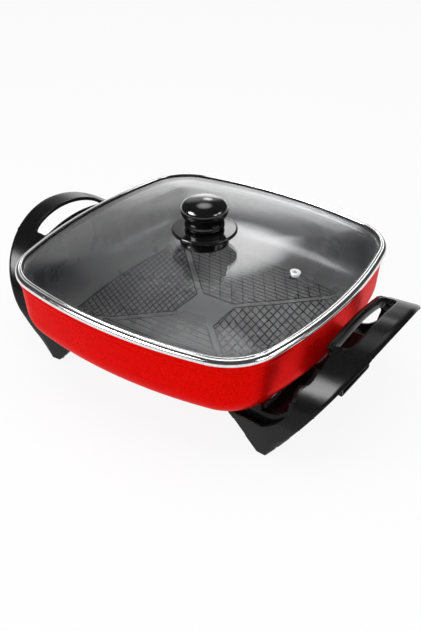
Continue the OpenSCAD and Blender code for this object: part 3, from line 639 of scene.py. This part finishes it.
def makeLidSeal(v):
    outer, edge, lip, low, high = pick(v, "outer edge lip low high")
    under, over = v["glassLow"] - 0.05, v["glassHigh"] + 0.05
    section = [(outer, low), (outer, high), (lip - 0.2, high), (lip, high - 0.2), (lip, over), (edge, over),
               (edge, under), (lip, under), (lip, low + 0.2), (lip - 0.2, low)]
    finishPiece("lidSeal", sweptMesh(section), "lid", "seal_rubber", "lid_seal", "sealRubber")


# Domed glass, with holes for the knob's screw and for the vent
glassDome = dict(
    edge=5.2, low=129.4, thick=4, rise=12, flat=0.19, shoulder=10.6, power=2.2, rings=30, screwHole=2.9,
    vent=(102.5, 6.5), ventHole=3.35, ventFrame=0.4, ventCuts=5,
)


def domeHeight(v, reach):
    low, high = v["flat"], 1 - v["shoulder"] / track.half
    share = min(max(reach / track.half, low), high)
    return v["rise"] * (1 - ((share - low) / (high - low)) ** v["power"])


def nearestFace(mesh, spot, upward):
    facing = [f for f in mesh.faces if f.normal.z * upward > 0.5]
    return min(facing, key=lambda f: (f.calc_center_median().xy - spot).length)


def makeLidGlass(v):
    edge, low, thick, shoulder, rings = pick(v, "edge low thick shoulder rings")
    span = track.half - v["screwHole"] - shoulder
    steps = [edge + 0.6] + [shoulder + span * i / rings for i in range(rings + 1)]
    rim = low + thick
    top = [(edge, rim - 0.9), (edge + 0.2, rim - 0.3)] + [(x, rim + domeHeight(v, track.half - x)) for x in steps]
    under = [(x, low + domeHeight(v, track.half - x)) for x in steps[::-1]]
    mesh = sweptMesh(top + under + [(edge + 0.2, low + 0.3), (edge, low + 0.9)])
    spot = Vector(v["vent"]) * mm
    loops = []
    for upward in (1, -1):
        face = nearestFace(mesh, spot, upward)
        shift = spot - face.calc_center_median().xy
        for corner in face.verts:
            corner.co.xy += shift
        bmesh.ops.inset_individual(mesh, faces=[face], thickness=v["ventFrame"] * mm, use_even_offset=True)
        bmesh.ops.subdivide_edges(mesh, edges=face.edges[:], cuts=v["ventCuts"], use_grid_fill=False)
        face = nearestFace(mesh, spot, upward)
        for corner in face.verts:
            corner.co.xy = spot + (corner.co.xy - spot).normalized() * v["ventHole"] * mm
        loops += face.edges[:]
        bmesh.ops.delete(mesh, geom=[face], context="FACES_ONLY")
    bmesh.ops.bridge_loops(mesh, edges=loops)
    outwards(mesh)
    finishPiece("lidGlass", mesh, "lid", "lid_glass", "lid_glass", "clearGlass", smoothUnder=50)


# Steam vent: a steel eyelet rolled over both faces of the glass
ventEyelet = dict(bore=2.2, barrel=3.2, flange=5.4, lip=0.9, gap=0.25)


def makeVentEyelet(v, dome):
    bore, barrel, flange, lip, gap = pick(v, "bore barrel flange lip gap")
    low, high = -dome["thick"] - gap - lip, gap + lip
    section = [(bore, low + 0.3), (bore + 0.3, low), (flange - 1.3, low), (flange - 1, low + 0.35),
               (flange - 1, low + lip), (barrel, low + lip), (barrel, gap), (flange - 0.1, gap),
               (flange, gap + 0.2), (flange - 0.15, gap + 0.45), (flange - 0.7, high - 0.14), (flange - 1.5, high),
               (bore + 0.9, high - 0.04), (bore + 0.3, high - 0.3), (bore, high - 0.8)]
    mesh = turnedMesh(section, steps=64)
    x, y = dome["vent"]
    height, span = dome["low"] + dome["thick"] + domeHeight(dome, x), 3
    slope = math.atan((domeHeight(dome, x - span) - domeHeight(dome, x + span)) / (2 * span))
    place = Matrix.Translation(Vector((x, y, height)) * mm) @ Matrix.Rotation(slope, 4, "Y")
    bmesh.ops.transform(mesh, matrix=place, verts=mesh.verts[:])
    finishPiece("ventEyelet", mesh, "lid", "rim_steel", "vent_eyelet", "satinSteel", smoothUnder=45)


# Knob: seat, heat guard disc with its collar, and the grip
knobShape = dict(
    bore=2.9, seatLow=145.7, seatTop=158.4, seat=24.6, seatRound=1, disc=33.3, discThick=3.8, neck=20, groove=2.6,
    gripLow=162.6, waist=171, cap=24, capEdge=183.2, capTop=194.3,
)


def makeKnobSeat(v):
    low, top, radius, bend, bore = pick(v, "seatLow seatTop seat seatRound bore")
    section = [(bore, low), (radius - bend, low)] + arcPoints((radius - bend, low + bend), bend, -80, 0, 8)
    section += [(radius, top - 0.5), (radius - 0.15, top - 0.15), (radius - 0.5, top), (bore, top)]
    finishPiece("knobSeat", turnedMesh(section), "lid", "knob_plastic", "knob_seat", "knobPlastic", smoothUnder=40)


def makeKnobHeatGuard(v):
    low, disc, thick, neck, groove, bore = pick(v, "seatTop disc discThick neck groove bore")
    edge, collar = thick / 2, v["gripLow"] - 0.02
    section = [(bore, low)] + arcPoints((disc - edge, low + edge), edge, -90, 90, 14)
    section += [(neck - groove - 1, low + thick), (neck - groove - 1.3, collar), (bore, collar)]
    finishPiece("knobHeatGuard", turnedMesh(section), "lid", "knob_plastic", "knob_heat_guard", "knobPlastic",
                smoothUnder=40)


def makeKnobGrip(v):
    low, neck, groove, waist, cap, edge, top = pick(v, "gripLow neck groove waist cap capEdge capTop")
    section = [(0, low + 0.02), (neck - groove, low + 0.02), (neck - groove + 0.5, low + 0.5),
               (neck - 0.15, low + 2.1), (neck + 0.2, low + 2.7), (neck + 0.25, low + 3.4)]
    section += quadCurve((neck, low + 5.5), (neck - 0.75, waist), (neck + 0.4, waist + 3), 6)
    section += quadCurve((neck + 1.1, waist + 4.3), (cap - 0.1, edge - 5.4), (cap, edge), 8)
    section += [(cap * x, edge + (top - edge) * y) for x, y in map(wayAt, range(6, 90, 6))] + [(0, top)]
    finishPiece("knobGrip", turnedMesh(section, closed=False), "lid", "knob_plastic", "knob_grip", "capPlastic",
                smoothUnder=40)


makePanFittings(panShape)
makeLidRim(rimBand)
makeLidSeal(sealBand)
makeLidGlass(glassDome)
makeVentEyelet(ventEyelet, glassDome)
makeKnobSeat(knobShape)
makeKnobHeatGuard(knobShape)
makeKnobGrip(knobShape)
print("lid and knob made")

# Handle: a looped shell that carries the feet, with its rail, cheeks, cross beam, shelf, posts and hood.
# Rows run from points of the inner edge, edgeMarks, to heights on the outer side, edgeHeights
handleShape = dict(
    reach=221.2, top=132, tilt=4, half=101.9, spring=55.5, power=1.94, footHalf=95.5, flare=0.19, foot=137.8,
    footTip=94, footTop=38.5, ground=0.8, fold=5, foldAt=139, foldBlend=30, curveSteps=240, rail=170.5, railWidth=6.5,
    railDeep=6.5, railDrop=(7, 3), railSplay=140, railAbove=100, wall=4, slotWidth=20, slotHalf=48.9, slotBlend=34,
    slotEase=(1.6, 6), slotRound=(3, 0.075, 0.34), slotSteps=(1.3, 2.9, 4.9, 7.2), rowStep=2.3, rowSnap=0.45,
    slotRows=(1.4, 1.15), columns=(3, 6, 9), settleTurns=12, edgeRound=1.2, outerDrop=(0.45, 1.9),
    flange=(7, 3, 4.6, 7), flangeSpan=(72, 107), flangeRound=0.6, edgeHeights=(14, 20, 30, 38, 62, 78), lastDrop=6.5,
    edgeMarks=(0, 1, 6, 7, 15, 23, 27, 34, 37),
)

# The walls behind the shell: outlines seen from the side, as (along, height) pairs
handleWalls = {
    "cheek": [(112.8, 33), (112.8, 49), (116.8, 56.5), (128.8, 56.5), (128.8, 49), (135.6, 49.3), (142, 50.6),
              (147.6, 52.9), (152.4, 56.4), (156.8, 61), (158.2, 67.4), (159.8, 73.2), (162.2, 78.4), (165.5, 83),
              (175.5, 83), (159.8, 34.5), (135.8, 6), (125.8, 4)],
    "beam": [(112.8, 33), (112.8, 47.5), (128.8, 47.5), (128.8, 33), (125.8, 33), (125.8, 44.5), (115.8, 44.5),
             (115.8, 33)],
    "shelf": [(127.8, 45.1), (127.8, 47.5), (149.8, 47.5), (149.8, 45.1)],
    "web": [(103, 29.5), (103, 31.9), (134.8, 31.9), (134.8, 29.5)],
    # The apron is a black plate that closes the gap above the foot's tip, put there as painted shade for the shaded
    # floor under the pan
    "shadeApron": [(97.5, 30), (96.5, 38), (113.2, 47.3), (113.2, 30)],
    "footBlock": [(127.3, 0.8), (137.5, 0.8), (143.8, 9), (120.8, 9)],
}

# Each wall's two sides across the handle and the rounding of its edges
wallSpans = {"cheek": (87.5, 91.5, 0.5), "shadeApron": (87.7, 91.3, 0.3), "web": (89.5, 94.5, 0),
             "footBlock": (82, 94, 0.5)}
beamSpan = (-88, 88, 0.4)
handlePost = dict(along=120.8, across=58, radius=7.5, low=33, high=45, bore=2.8, seat=39, seatRadius=4.7)
hoodShape = dict(
    half=29, low=46.5, high=83.5, reach=180, wall=2.6, round=2.4, edge=0.6, back=127.8, clear=3, filletAt=122.4,
)


# Finds a value along a table of rising keys
def between(keys, values, key):
    if key <= keys[0]:
        return values[0]
    i = min(bisect.bisect_left(keys, key), len(keys) - 1)
    share = min(1, (key - keys[i - 1]) / (keys[i] - keys[i - 1]))
    return values[i - 1] + (values[i] - values[i - 1]) * share


def runsAlong(line):
    runs = [0]
    for a, b in zip(line, line[1:]):
        runs.append(runs[-1] + math.dist(a, b))
    return runs


def smoothShare(distance, reach):
    share = 1 - min(max(distance / reach, 0), 1)
    return share * share * (3 - 2 * share)


# The shell's surface: a bent line from foot to grip, drawn along the handle on a slight slope
class HandleTrack:
    def __init__(self, v):
        self.v = v
        self.rise = math.tan(math.radians(v["tilt"]))
        half, spring, count, bow = v["half"], v["spring"], v["curveSteps"], 2 / v["power"]
        slope = (half - v["footHalf"]) / spring
        line = [(slope * (spring - z) - half, z) for z in (-20, 0, 20, 40)]
        for a in (math.pi / 2 * i / count for i in range(count + 1)):
            line.append((-half * max(0, math.cos(a)) ** bow, spring + (v["top"] - spring) * math.sin(a) ** bow))
        self.across = [p[0] for p in line]
        self.height = [p[1] for p in line]
        self.run = runsAlong(line)

    def heightAt(self, x, run):
        return between(self.run, self.height, run) + (x - self.v["reach"]) * self.rise

    def runAtHeight(self, x, z):
        return between(self.height, self.run, z - (x - self.v["reach"]) * self.rise)

    def runAtAcross(self, y):
        return between(self.across, self.run, y)

    def acrossAt(self, run):
        return between(self.run, self.across, run)

    def outerAtHeight(self, z):
        v = self.v
        share = z / v["top"]
        return v["foot"] + (v["reach"] - v["foot"]) * share * (1 + v["flare"] * (1 - share))

    # The outer edge's x, which settles as x and height are found in turn
    def outer(self, run):
        x = self.v["reach"]
        for _ in range(self.v["settleTurns"]):
            x = self.outerAtHeight(self.heightAt(x, run))
        return x

    def place(self, x, run):
        v = self.v
        past = v["foldAt"] - x
        fold = math.tan(math.radians(v["fold"])) * (math.sqrt(past * past + v["foldBlend"]) + past) / 2
        return Vector((x, self.acrossAt(run) + fold, self.heightAt(x, run))) * mm

    def inward(self, x, run):
        along = self.place(x + 1, run) - self.place(x - 1, run)
        up = self.place(x, run + 1) - self.place(x, run - 1)
        return up.cross(along).normalized()


shellTrack = HandleTrack(handleShape)


# Inner edge of the shell seen from the side: heel, foot tip, top of the foot, leg, notch and the rail's end
def shellInnerEdge(v):
    foot, tip, high, rail = v["foot"], v["footTip"], v["footTop"], v["rail"]
    line = [(foot - 10, v["ground"]), (tip + 6.5, high - 8)]
    line += quadCurve((tip + 4, high - 6.8), (tip - 0.5, high - 5), (tip + 1, high), 4)
    line += quadCurve((foot - 2, high), (foot + 24, high + 16), (rail - 4, 79), 16)
    line += quadCurve((rail - 3.5, 88), (rail - 3, 93), (rail + 1.5, 93), 3)
    line += quadCurve((rail + 3.5, 95), (rail + 6, 98), (rail + 7, 108), 4)
    line += [(rail + 8.2, 113), (rail + 9.1, 116.4), (rail + 5.5, 116.6), (rail + 1.5, 116.9), (rail, 117.6)]
    return line


# Rows of the shell from the ground to the middle of the grip: (inner x, inner run, outer run)
def shellRows(v, track):
    edge = [(x, track.runAtHeight(x, z)) for x, z in shellInnerEdge(v)]
    half, step, rail = pick(v, "slotHalf rowStep rail")
    xs, runs = zip(*edge)
    length = runsAlong(edge)
    total, last = length[-1], runs[-1]
    outerAt = [track.runAtHeight(track.outerAtHeight(z), z) for z in (v["ground"], *v["edgeHeights"])]
    outerAt += [last - v["lastDrop"], last]
    marks = [length[i] for i in v["edgeMarks"]]
    count = round(total / step)
    rows = []
    for i in range(count + 1):
        along = total * i / count
        nearest = min(length, key=lambda value: abs(value - along))
        if abs(nearest - along) < step * v["rowSnap"]:
            along = nearest
        rows.append((between(length, xs, along), between(length, runs, along), between(marks, outerAt, along)))
    heights = [half] + [half - drop for drop in v["slotSteps"]]
    least, gap = v["slotRows"]
    while heights[-1] > step * least:
        heights.append(heights[-1] - step * gap)
    for y in heights + [0]:
        run = track.runAtAcross(-y)
        rows.append((rail, run, run))
    return rows


def slotSides(v, y):
    half, inside = v["slotHalf"], v["rail"] + v["railWidth"]
    ease, reach = v["slotEase"]
    least, flat, power = v["slotRound"]
    share = min(abs(y) / half, 1)
    inner = inside + ease * max(0, (abs(y) - half + reach) / reach) ** 2
    return inner, inside + least + (v["slotWidth"] - least) * max(flat, math.sqrt(1 - share * share)) ** power


# The columns' x in one row: rail, slot and grip, with the slot's sides bent in where the slot is near
def rowColumns(v, inner, outer, y, share):
    rail, slot, grip = v["columns"]
    count = rail + slot + grip
    low, high = slotSides(v, y)
    stops = [inner, inner + (outer - inner) * rail / count, inner + (outer - inner) * (rail + slot) / count, outer]
    stops[1] += (low - stops[1]) * share
    stops[2] += (high - stops[2]) * share
    xs = []
    for part, steps in enumerate(v["columns"]):
        xs += [stops[part] + (stops[part + 1] - stops[part]) * i / steps for i in range(steps)]
    return xs + [outer]


def makeShell(v, track):
    rail, slot, grip = v["columns"]
    half, drop = v["slotHalf"], v["railDrop"]
    mesh = bmesh.new()
    columnKey = mesh.verts.layers.int.new("column")
    slotRun = track.runAtAcross(-half)
    ring = None
    slotFaces = []
    for inner, innerRun, outerRun in shellRows(v, track):
        outer = track.outer(outerRun)
        y = -half if outerRun < slotRun else track.acrossAt(outerRun)
        xs = rowColumns(v, inner, outer, y, smoothShare(slotRun - outerRun, v["slotBlend"]))
        places = [track.place(x, innerRun + (outerRun - innerRun) * (x - inner) / (outer - inner)) for x in xs]
        for i, low in zip((-2, -1), v["outerDrop"]):
            places[i] += track.inward(xs[i], outerRun) * low * mm
        sag = max(0, 1 - (places[0].y / mm / (half + 5)) ** 2) if innerRun == outerRun else 0
        for i in range(rail + 1):
            places[i].z -= sag * (drop[0] + (drop[1] - drop[0]) * i / rail) * mm
        if ring is None:
            spots, ring = lineOf(mesh, places)
            for i, spot in enumerate(spots):
                spot[columnKey] = i
            continue
        grown, fresh, ring = drawOut(mesh, ring)
        for spot in fresh:
            spot.co = places[spot[columnKey]]
        if outerRun > slotRun + 0.1:
            slotFaces += [f for f in facesIn(grown) if rail <= min(c[columnKey] for c in f.verts) < rail + slot]
    bmesh.ops.delete(mesh, geom=slotFaces, context="FACES")
    mirrorAcross(mesh, 0.02)
    outwards(mesh)
    if max(mesh.faces, key=lambda f: f.calc_center_median().z).normal.z < 0:
        bmesh.ops.reverse_faces(mesh, faces=mesh.faces[:])
    skin = {tuple(c.co) for c in mesh.verts}
    bmesh.ops.solidify(mesh, geom=mesh.faces[:], thickness=v["wall"] * mm)
    for spot in mesh.verts:
        if spot[columnKey] == rail + slot + grip and tuple(spot.co) not in skin:
            spot.co.x = min(spot.co.x, track.outerAtHeight(spot.co.z / mm) * mm)
    outwards(mesh)
    deepenRail(mesh, v, columnKey)
    outwards(mesh)
    bevelEdges(mesh, sharpEdges(mesh, 32, v["edgeRound"] * 1.3), v["edgeRound"])
    return mesh


# Draws the underside of the rail down, a little outwards towards its ends
def deepenRail(mesh, v, columnKey):
    railFaces = []
    for face in mesh.faces:
        middle = face.calc_center_median() / mm
        if face.normal.z < -0.5 and all(c[columnKey] <= v["columns"][0] for c in face.verts) \
                and abs(middle.y) < v["slotHalf"] + 3 and middle.z > v["railAbove"]:
            railFaces.append(face)
    grown = bmesh.ops.extrude_face_region(mesh, geom=railFaces)["geom"]
    bmesh.ops.delete(mesh, geom=railFaces, context="FACES_ONLY")
    for spot in vertsIn(grown):
        spot.co += Vector((0, -spot.co.y / mm / v["railSplay"], -1)).normalized() * v["railDeep"] * mm


def mirrorAcross(mesh, reach):
    bmesh.ops.mirror(mesh, geom=mesh.verts[:] + mesh.edges[:] + mesh.faces[:], axis="Y", merge_dist=reach * mm)


# Edges to round, left out where a neighbour is too short for the rounding
def sharpEdges(mesh, under, room=0):
    return [e for e in mesh.edges if len(e.link_faces) == 2 and e.calc_face_angle(0) > math.radians(under)
            and all(n.calc_length() > room * mm for f in e.link_faces for n in f.edges if n is not e)]


def bevelEdges(mesh, edges, offset, segments=3):
    bmesh.ops.bevel(mesh, geom=edges, offset=offset * mm, offset_type="OFFSET", segments=segments, profile=0.5,
                    affect="EDGES", clamp_overlap=False, material=-1)


# A dark flange under the edge of the shell, from the leg up to the rail
def makeFlange(v, track):
    back, front, near, far = v["flange"]
    low, high = v["flangeSpan"]
    mesh = bmesh.new()
    first = ring = None
    for inner, innerRun, outerRun in shellRows(v, track):
        spot = track.place(inner, innerRun) / mm
        if not low < spot.z < high or spot.y > -v["slotHalf"]:
            continue
        inward = track.inward(inner, innerRun)
        corners = [track.place(inner + x, innerRun) + inward * deep * mm
                   for x, deep in ((-back, near), (front, near), (front, far), (-back, far))]
        if ring is None:
            spots, ring = loopOf(mesh, corners)
            first = ring
            continue
        grown, fresh, ring = drawOut(mesh, ring)
        for spot in fresh:
            old = [e.other_vert(spot) for e in spot.link_edges if e.other_vert(spot) not in fresh][0]
            spot.co = corners[spots.index(old)]
        spots = sorted(fresh, key=lambda c: corners.index(min(corners, key=lambda p: (p - c.co).length)))
    bmesh.ops.contextual_create(mesh, geom=first)
    bmesh.ops.contextual_create(mesh, geom=ring)
    outwards(mesh)
    bevelEdges(mesh, sharpEdges(mesh, 60), v["flangeRound"], 2)
    mirrorAcross(mesh, 0.001)
    return mesh


# A plate with an outline seen from the side, between two places across
def makePlate(outline, low, high, offset):
    mesh = bmesh.new()
    spots, lines = loopOf(mesh, [(x * mm, low * mm, z * mm) for x, z in outline])
    face = bmesh.ops.contextual_create(mesh, geom=lines)["faces"]
    grown = bmesh.ops.extrude_face_region(mesh, geom=face, use_keep_orig=True)["geom"]
    bmesh.ops.translate(mesh, verts=vertsIn(grown), vec=(0, (high - low) * mm, 0))
    outwards(mesh)
    if offset:
        bevelEdges(mesh, sharpEdges(mesh, 32), offset, 2)
    return mesh


def makePost(v, side):
    bore, seat, wide, radius, low, high = pick(v, "bore seat seatRadius radius low high")
    section = [(bore, seat), (wide, seat), (wide, low + 0.4), (wide + 0.3, low), (radius - 0.6, low),
               (radius, low + 0.6), (radius, high), (bore, high)]
    mesh = turnedMesh(section, steps=48)
    bmesh.ops.translate(mesh, verts=mesh.verts[:], vec=(v["along"] * mm, side * v["across"] * mm, 0))
    return mesh


# Hood round the inlet: a tube of rounded section, its back edge clear of the pan's wall
def hoodLoop(v, inset):
    bend = max(v["round"] - inset, v["edge"])
    half, low, high = v["half"] - inset - bend, v["low"] + inset + bend, v["high"] - inset - bend
    corners = [(half, high, 0), (-half, high, 90), (-half, low, 180), (half, low, 270)]
    return [spot for y, z, start in corners for spot in arcPoints((y, z), bend, start, start + 90, 4)]


def makeHood(v, pan):
    mesh = bmesh.new()
    outer, inner = hoodLoop(v, 0), hoodLoop(v, v["wall"])

    def backOf(z):
        if z < pan["base"]:
            return v["back"]
        drop = max(0, pan["base"] + pan["fillet"] - z)
        reach = v["filletAt"] + math.sqrt(max(0, pan["fillet"] ** 2 - drop ** 2)) + v["clear"]
        return max(v["back"], reach)

    rings = []
    for loop, xs in ((outer, (0, 1)), (inner, (1, 0))):
        for end in xs:
            spots = [mesh.verts.new(Vector(((backOf(z) if end else v["reach"]), y, z)) * mm) for y, z in loop]
            rings.append([mesh.edges.new((a, b)) for a, b in zip(spots, spots[1:] + spots[:1])])
    for a, b in zip(rings, rings[1:] + rings[:1]):
        bmesh.ops.bridge_loops(mesh, edges=a + b)
    outwards(mesh)
    bevelEdges(mesh, sharpEdges(mesh, 50), v["edge"], 2)
    return mesh


def joinInto(mesh, part):
    carrier = storeMesh("carrier", part)
    mesh.from_mesh(carrier)
    bpy.data.meshes.remove(carrier)


def makeHandle(name, node, v, walls, side):
    mesh = makeShell(v, shellTrack)
    joinInto(mesh, makeFlange(v, shellTrack))
    for half in (1, -1):
        for wall, (low, high, offset) in wallSpans.items():
            joinInto(mesh, makePlate(walls[wall], half * low, half * high, offset))
        joinInto(mesh, makePost(handlePost, half))
    for wall in ("beam", "shelf"):
        joinInto(mesh, makePlate(walls[wall], *beamSpan))
    if side > 0:
        joinInto(mesh, makeHood(hoodShape, panShape))
    else:
        bmesh.ops.scale(mesh, vec=(-1, 1, 1), verts=mesh.verts[:])
        bmesh.ops.reverse_faces(mesh, faces=mesh.faces[:])
    finishPiece(name, mesh, "pan", "black_plastic", node, "blackPlastic", smoothUnder=38)


makeHandle("handleRight", "handle_right", handleShape, handleWalls, 1)
makeHandle("handleLeft", "handle_left", handleShape, handleWalls, -1)
print("handles made")

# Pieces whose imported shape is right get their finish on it
nodeFinishes = {
    "elementSheath": "heating_element", "porcelain": "terminal_insulators", "castAluminium": "probe_block",
    "padRubber": "foot_pads", "turnedBrass": "knob_insert", "sealRubber": "knob_gasket",
    "platedSteel": "terminal_pins probe_sleeve socket_guard guard_screws bracket_right bracket_left bracket_screws "
                   "bracket_nuts handle_screws knob_screw knob_washer",
}
for finish, nodes in nodeFinishes.items():
    for node in nodes.split():
        for holder in frame["nodes"][node].material_slots:
            holder.material = surfaces[finish]
print("finishes set on packed pieces")

# Stage: a pale floor, white to the camera, that keeps a soft shadow
stageLook = dict(floor=(0.8, 0.8, 0.8), reach=8, veil=0.9, ambient=(0.5, 0.5, 0.51))


def mixedShader(tree, share, first, second):
    return orderedNode(tree, "MixShader", share, first, second)["Shader"]


# The plain look for rays from the camera and through or off clear pieces, the lit one for the rest
def backdropMix(tree, lit, plain):
    rays = addNode(tree, "LightPath").outputs
    seen = rays["Is Camera Ray"]
    for kind in ("Is Glossy Ray", "Is Transmission Ray"):
        seen = orderedNode(tree, "Math", seen, rays[kind], operation="MAXIMUM")["Value"]
    return mixedShader(tree, seen, lit, plain)


def makeFloor(look):
    mesh = bmesh.new()
    bmesh.ops.create_grid(mesh, x_segments=1, y_segments=1, size=look["reach"])
    shape = storeMesh("studioFloor", mesh)
    surface = bpy.data.materials.new("studioFloor")
    tree = clearTree(surface)
    matt = addNode(tree, "BsdfDiffuse", Color=(*look["floor"], 1)).outputs["BSDF"]
    glow = addNode(tree, "Emission", Color=(1, 1, 1, 1), Strength=1).outputs["Emission"]
    veil = mixedShader(tree, look["veil"], matt, glow)
    addNode(tree, "OutputMaterial", Surface=backdropMix(tree, matt, veil))
    shape.materials.append(surface)
    addObject("studioFloor", shape)


# What polished metal and glass see of the studio: white low down, a grey ceiling, and soft lights.
# Each light: turn, rise, full within, gone past, strength
studioSky = dict(
    ceiling=0.07, horizonTo=4,
    lights=[(211, 30.5, 0.5, 7, 5), (219, 22, 3, 26, 0.8), (213, 8, 3, 16, 1.7), (216, 62, 3, 17, 3),
            (319, 36, 7, 14, 36), (338, 33, 3, 11, 12), (92, 26, 3, 11, 9), (116, 26, 3, 11, 9)],
)


# A smooth step of the strength between two cosines or heights
def smoothly(tree, value, fromLow, fromHigh, low, high):
    result = spread(tree, value, low, high, fromLow, fromHigh)
    result.node.interpolation_type = "SMOOTHSTEP"
    return result


def skyStrength(tree, sky):
    place = addNode(tree, "TexCoord").outputs["Generated"]
    height = orderedNode(tree, "SeparateXYZ", place)["Z"]
    total = smoothly(tree, height, 0, wayAt(sky["horizonTo"])[1], 1, sky["ceiling"])
    for turn, rise, full, gone, strength in sky["lights"]:
        near = orderedNode(tree, "VectorMath", place, wayTo(turn, rise), operation="DOT_PRODUCT")["Value"]
        lobe = smoothly(tree, near, wayAt(gone)[0], wayAt(full)[0], 0, strength)
        total = orderedNode(tree, "Math", total, lobe, operation="ADD")["Value"]
    return total


def makeWorld(look, sky):
    world = bpy.data.worlds.new("studio")
    tree = clearTree(world)
    white = (1, 1, 1, 1)
    soft, plain, glossy = (
        addNode(tree, "Background", Color=colour, Strength=strength).outputs["Background"]
        for colour, strength in (((*look["ambient"], 1), 1), (white, 1), (white, skyStrength(tree, sky))))
    offMetal = addNode(tree, "LightPath").outputs["Is Glossy Ray"]
    mix = mixedShader(tree, offMetal, backdropMix(tree, soft, plain), glossy)
    addNode(tree, "OutputWorld", Surface=mix)
    scene.world = world


# Lamps: turn, rise and distance from the pan, size, power
lamps = {
    "overhead": dict(turn=20, rise=80, far=1.5, size=(1.3, 1), power=14),
    "frontLeft": dict(turn=-30, rise=28, far=1.7, size=(0.7, 1), power=9),
    "right": dict(turn=95, rise=40, far=1.7, size=(0.5, 0.9), power=1.5),
}


def makeLamp(name, v):
    back = wayTo(v["turn"], v["rise"])
    light = bpy.data.lights.new(name, "AREA")
    light.shape = "RECTANGLE"
    light.size, light.size_y = v["size"]
    light.energy = v["power"]
    lamp = addObject(name, light)
    lamp.matrix_world = Matrix.Translation(Vector((0, 0, 0.1)) + back * v["far"]) @ \
        back.to_track_quat("Z", "Y").to_matrix().to_4x4()
    lamp.visible_camera = False
    lamp.visible_glossy = False


makeFloor(stageLook)
makeWorld(stageLook, studioSky)
for name, values in lamps.items():
    makeLamp(name, values)
print("stage set")
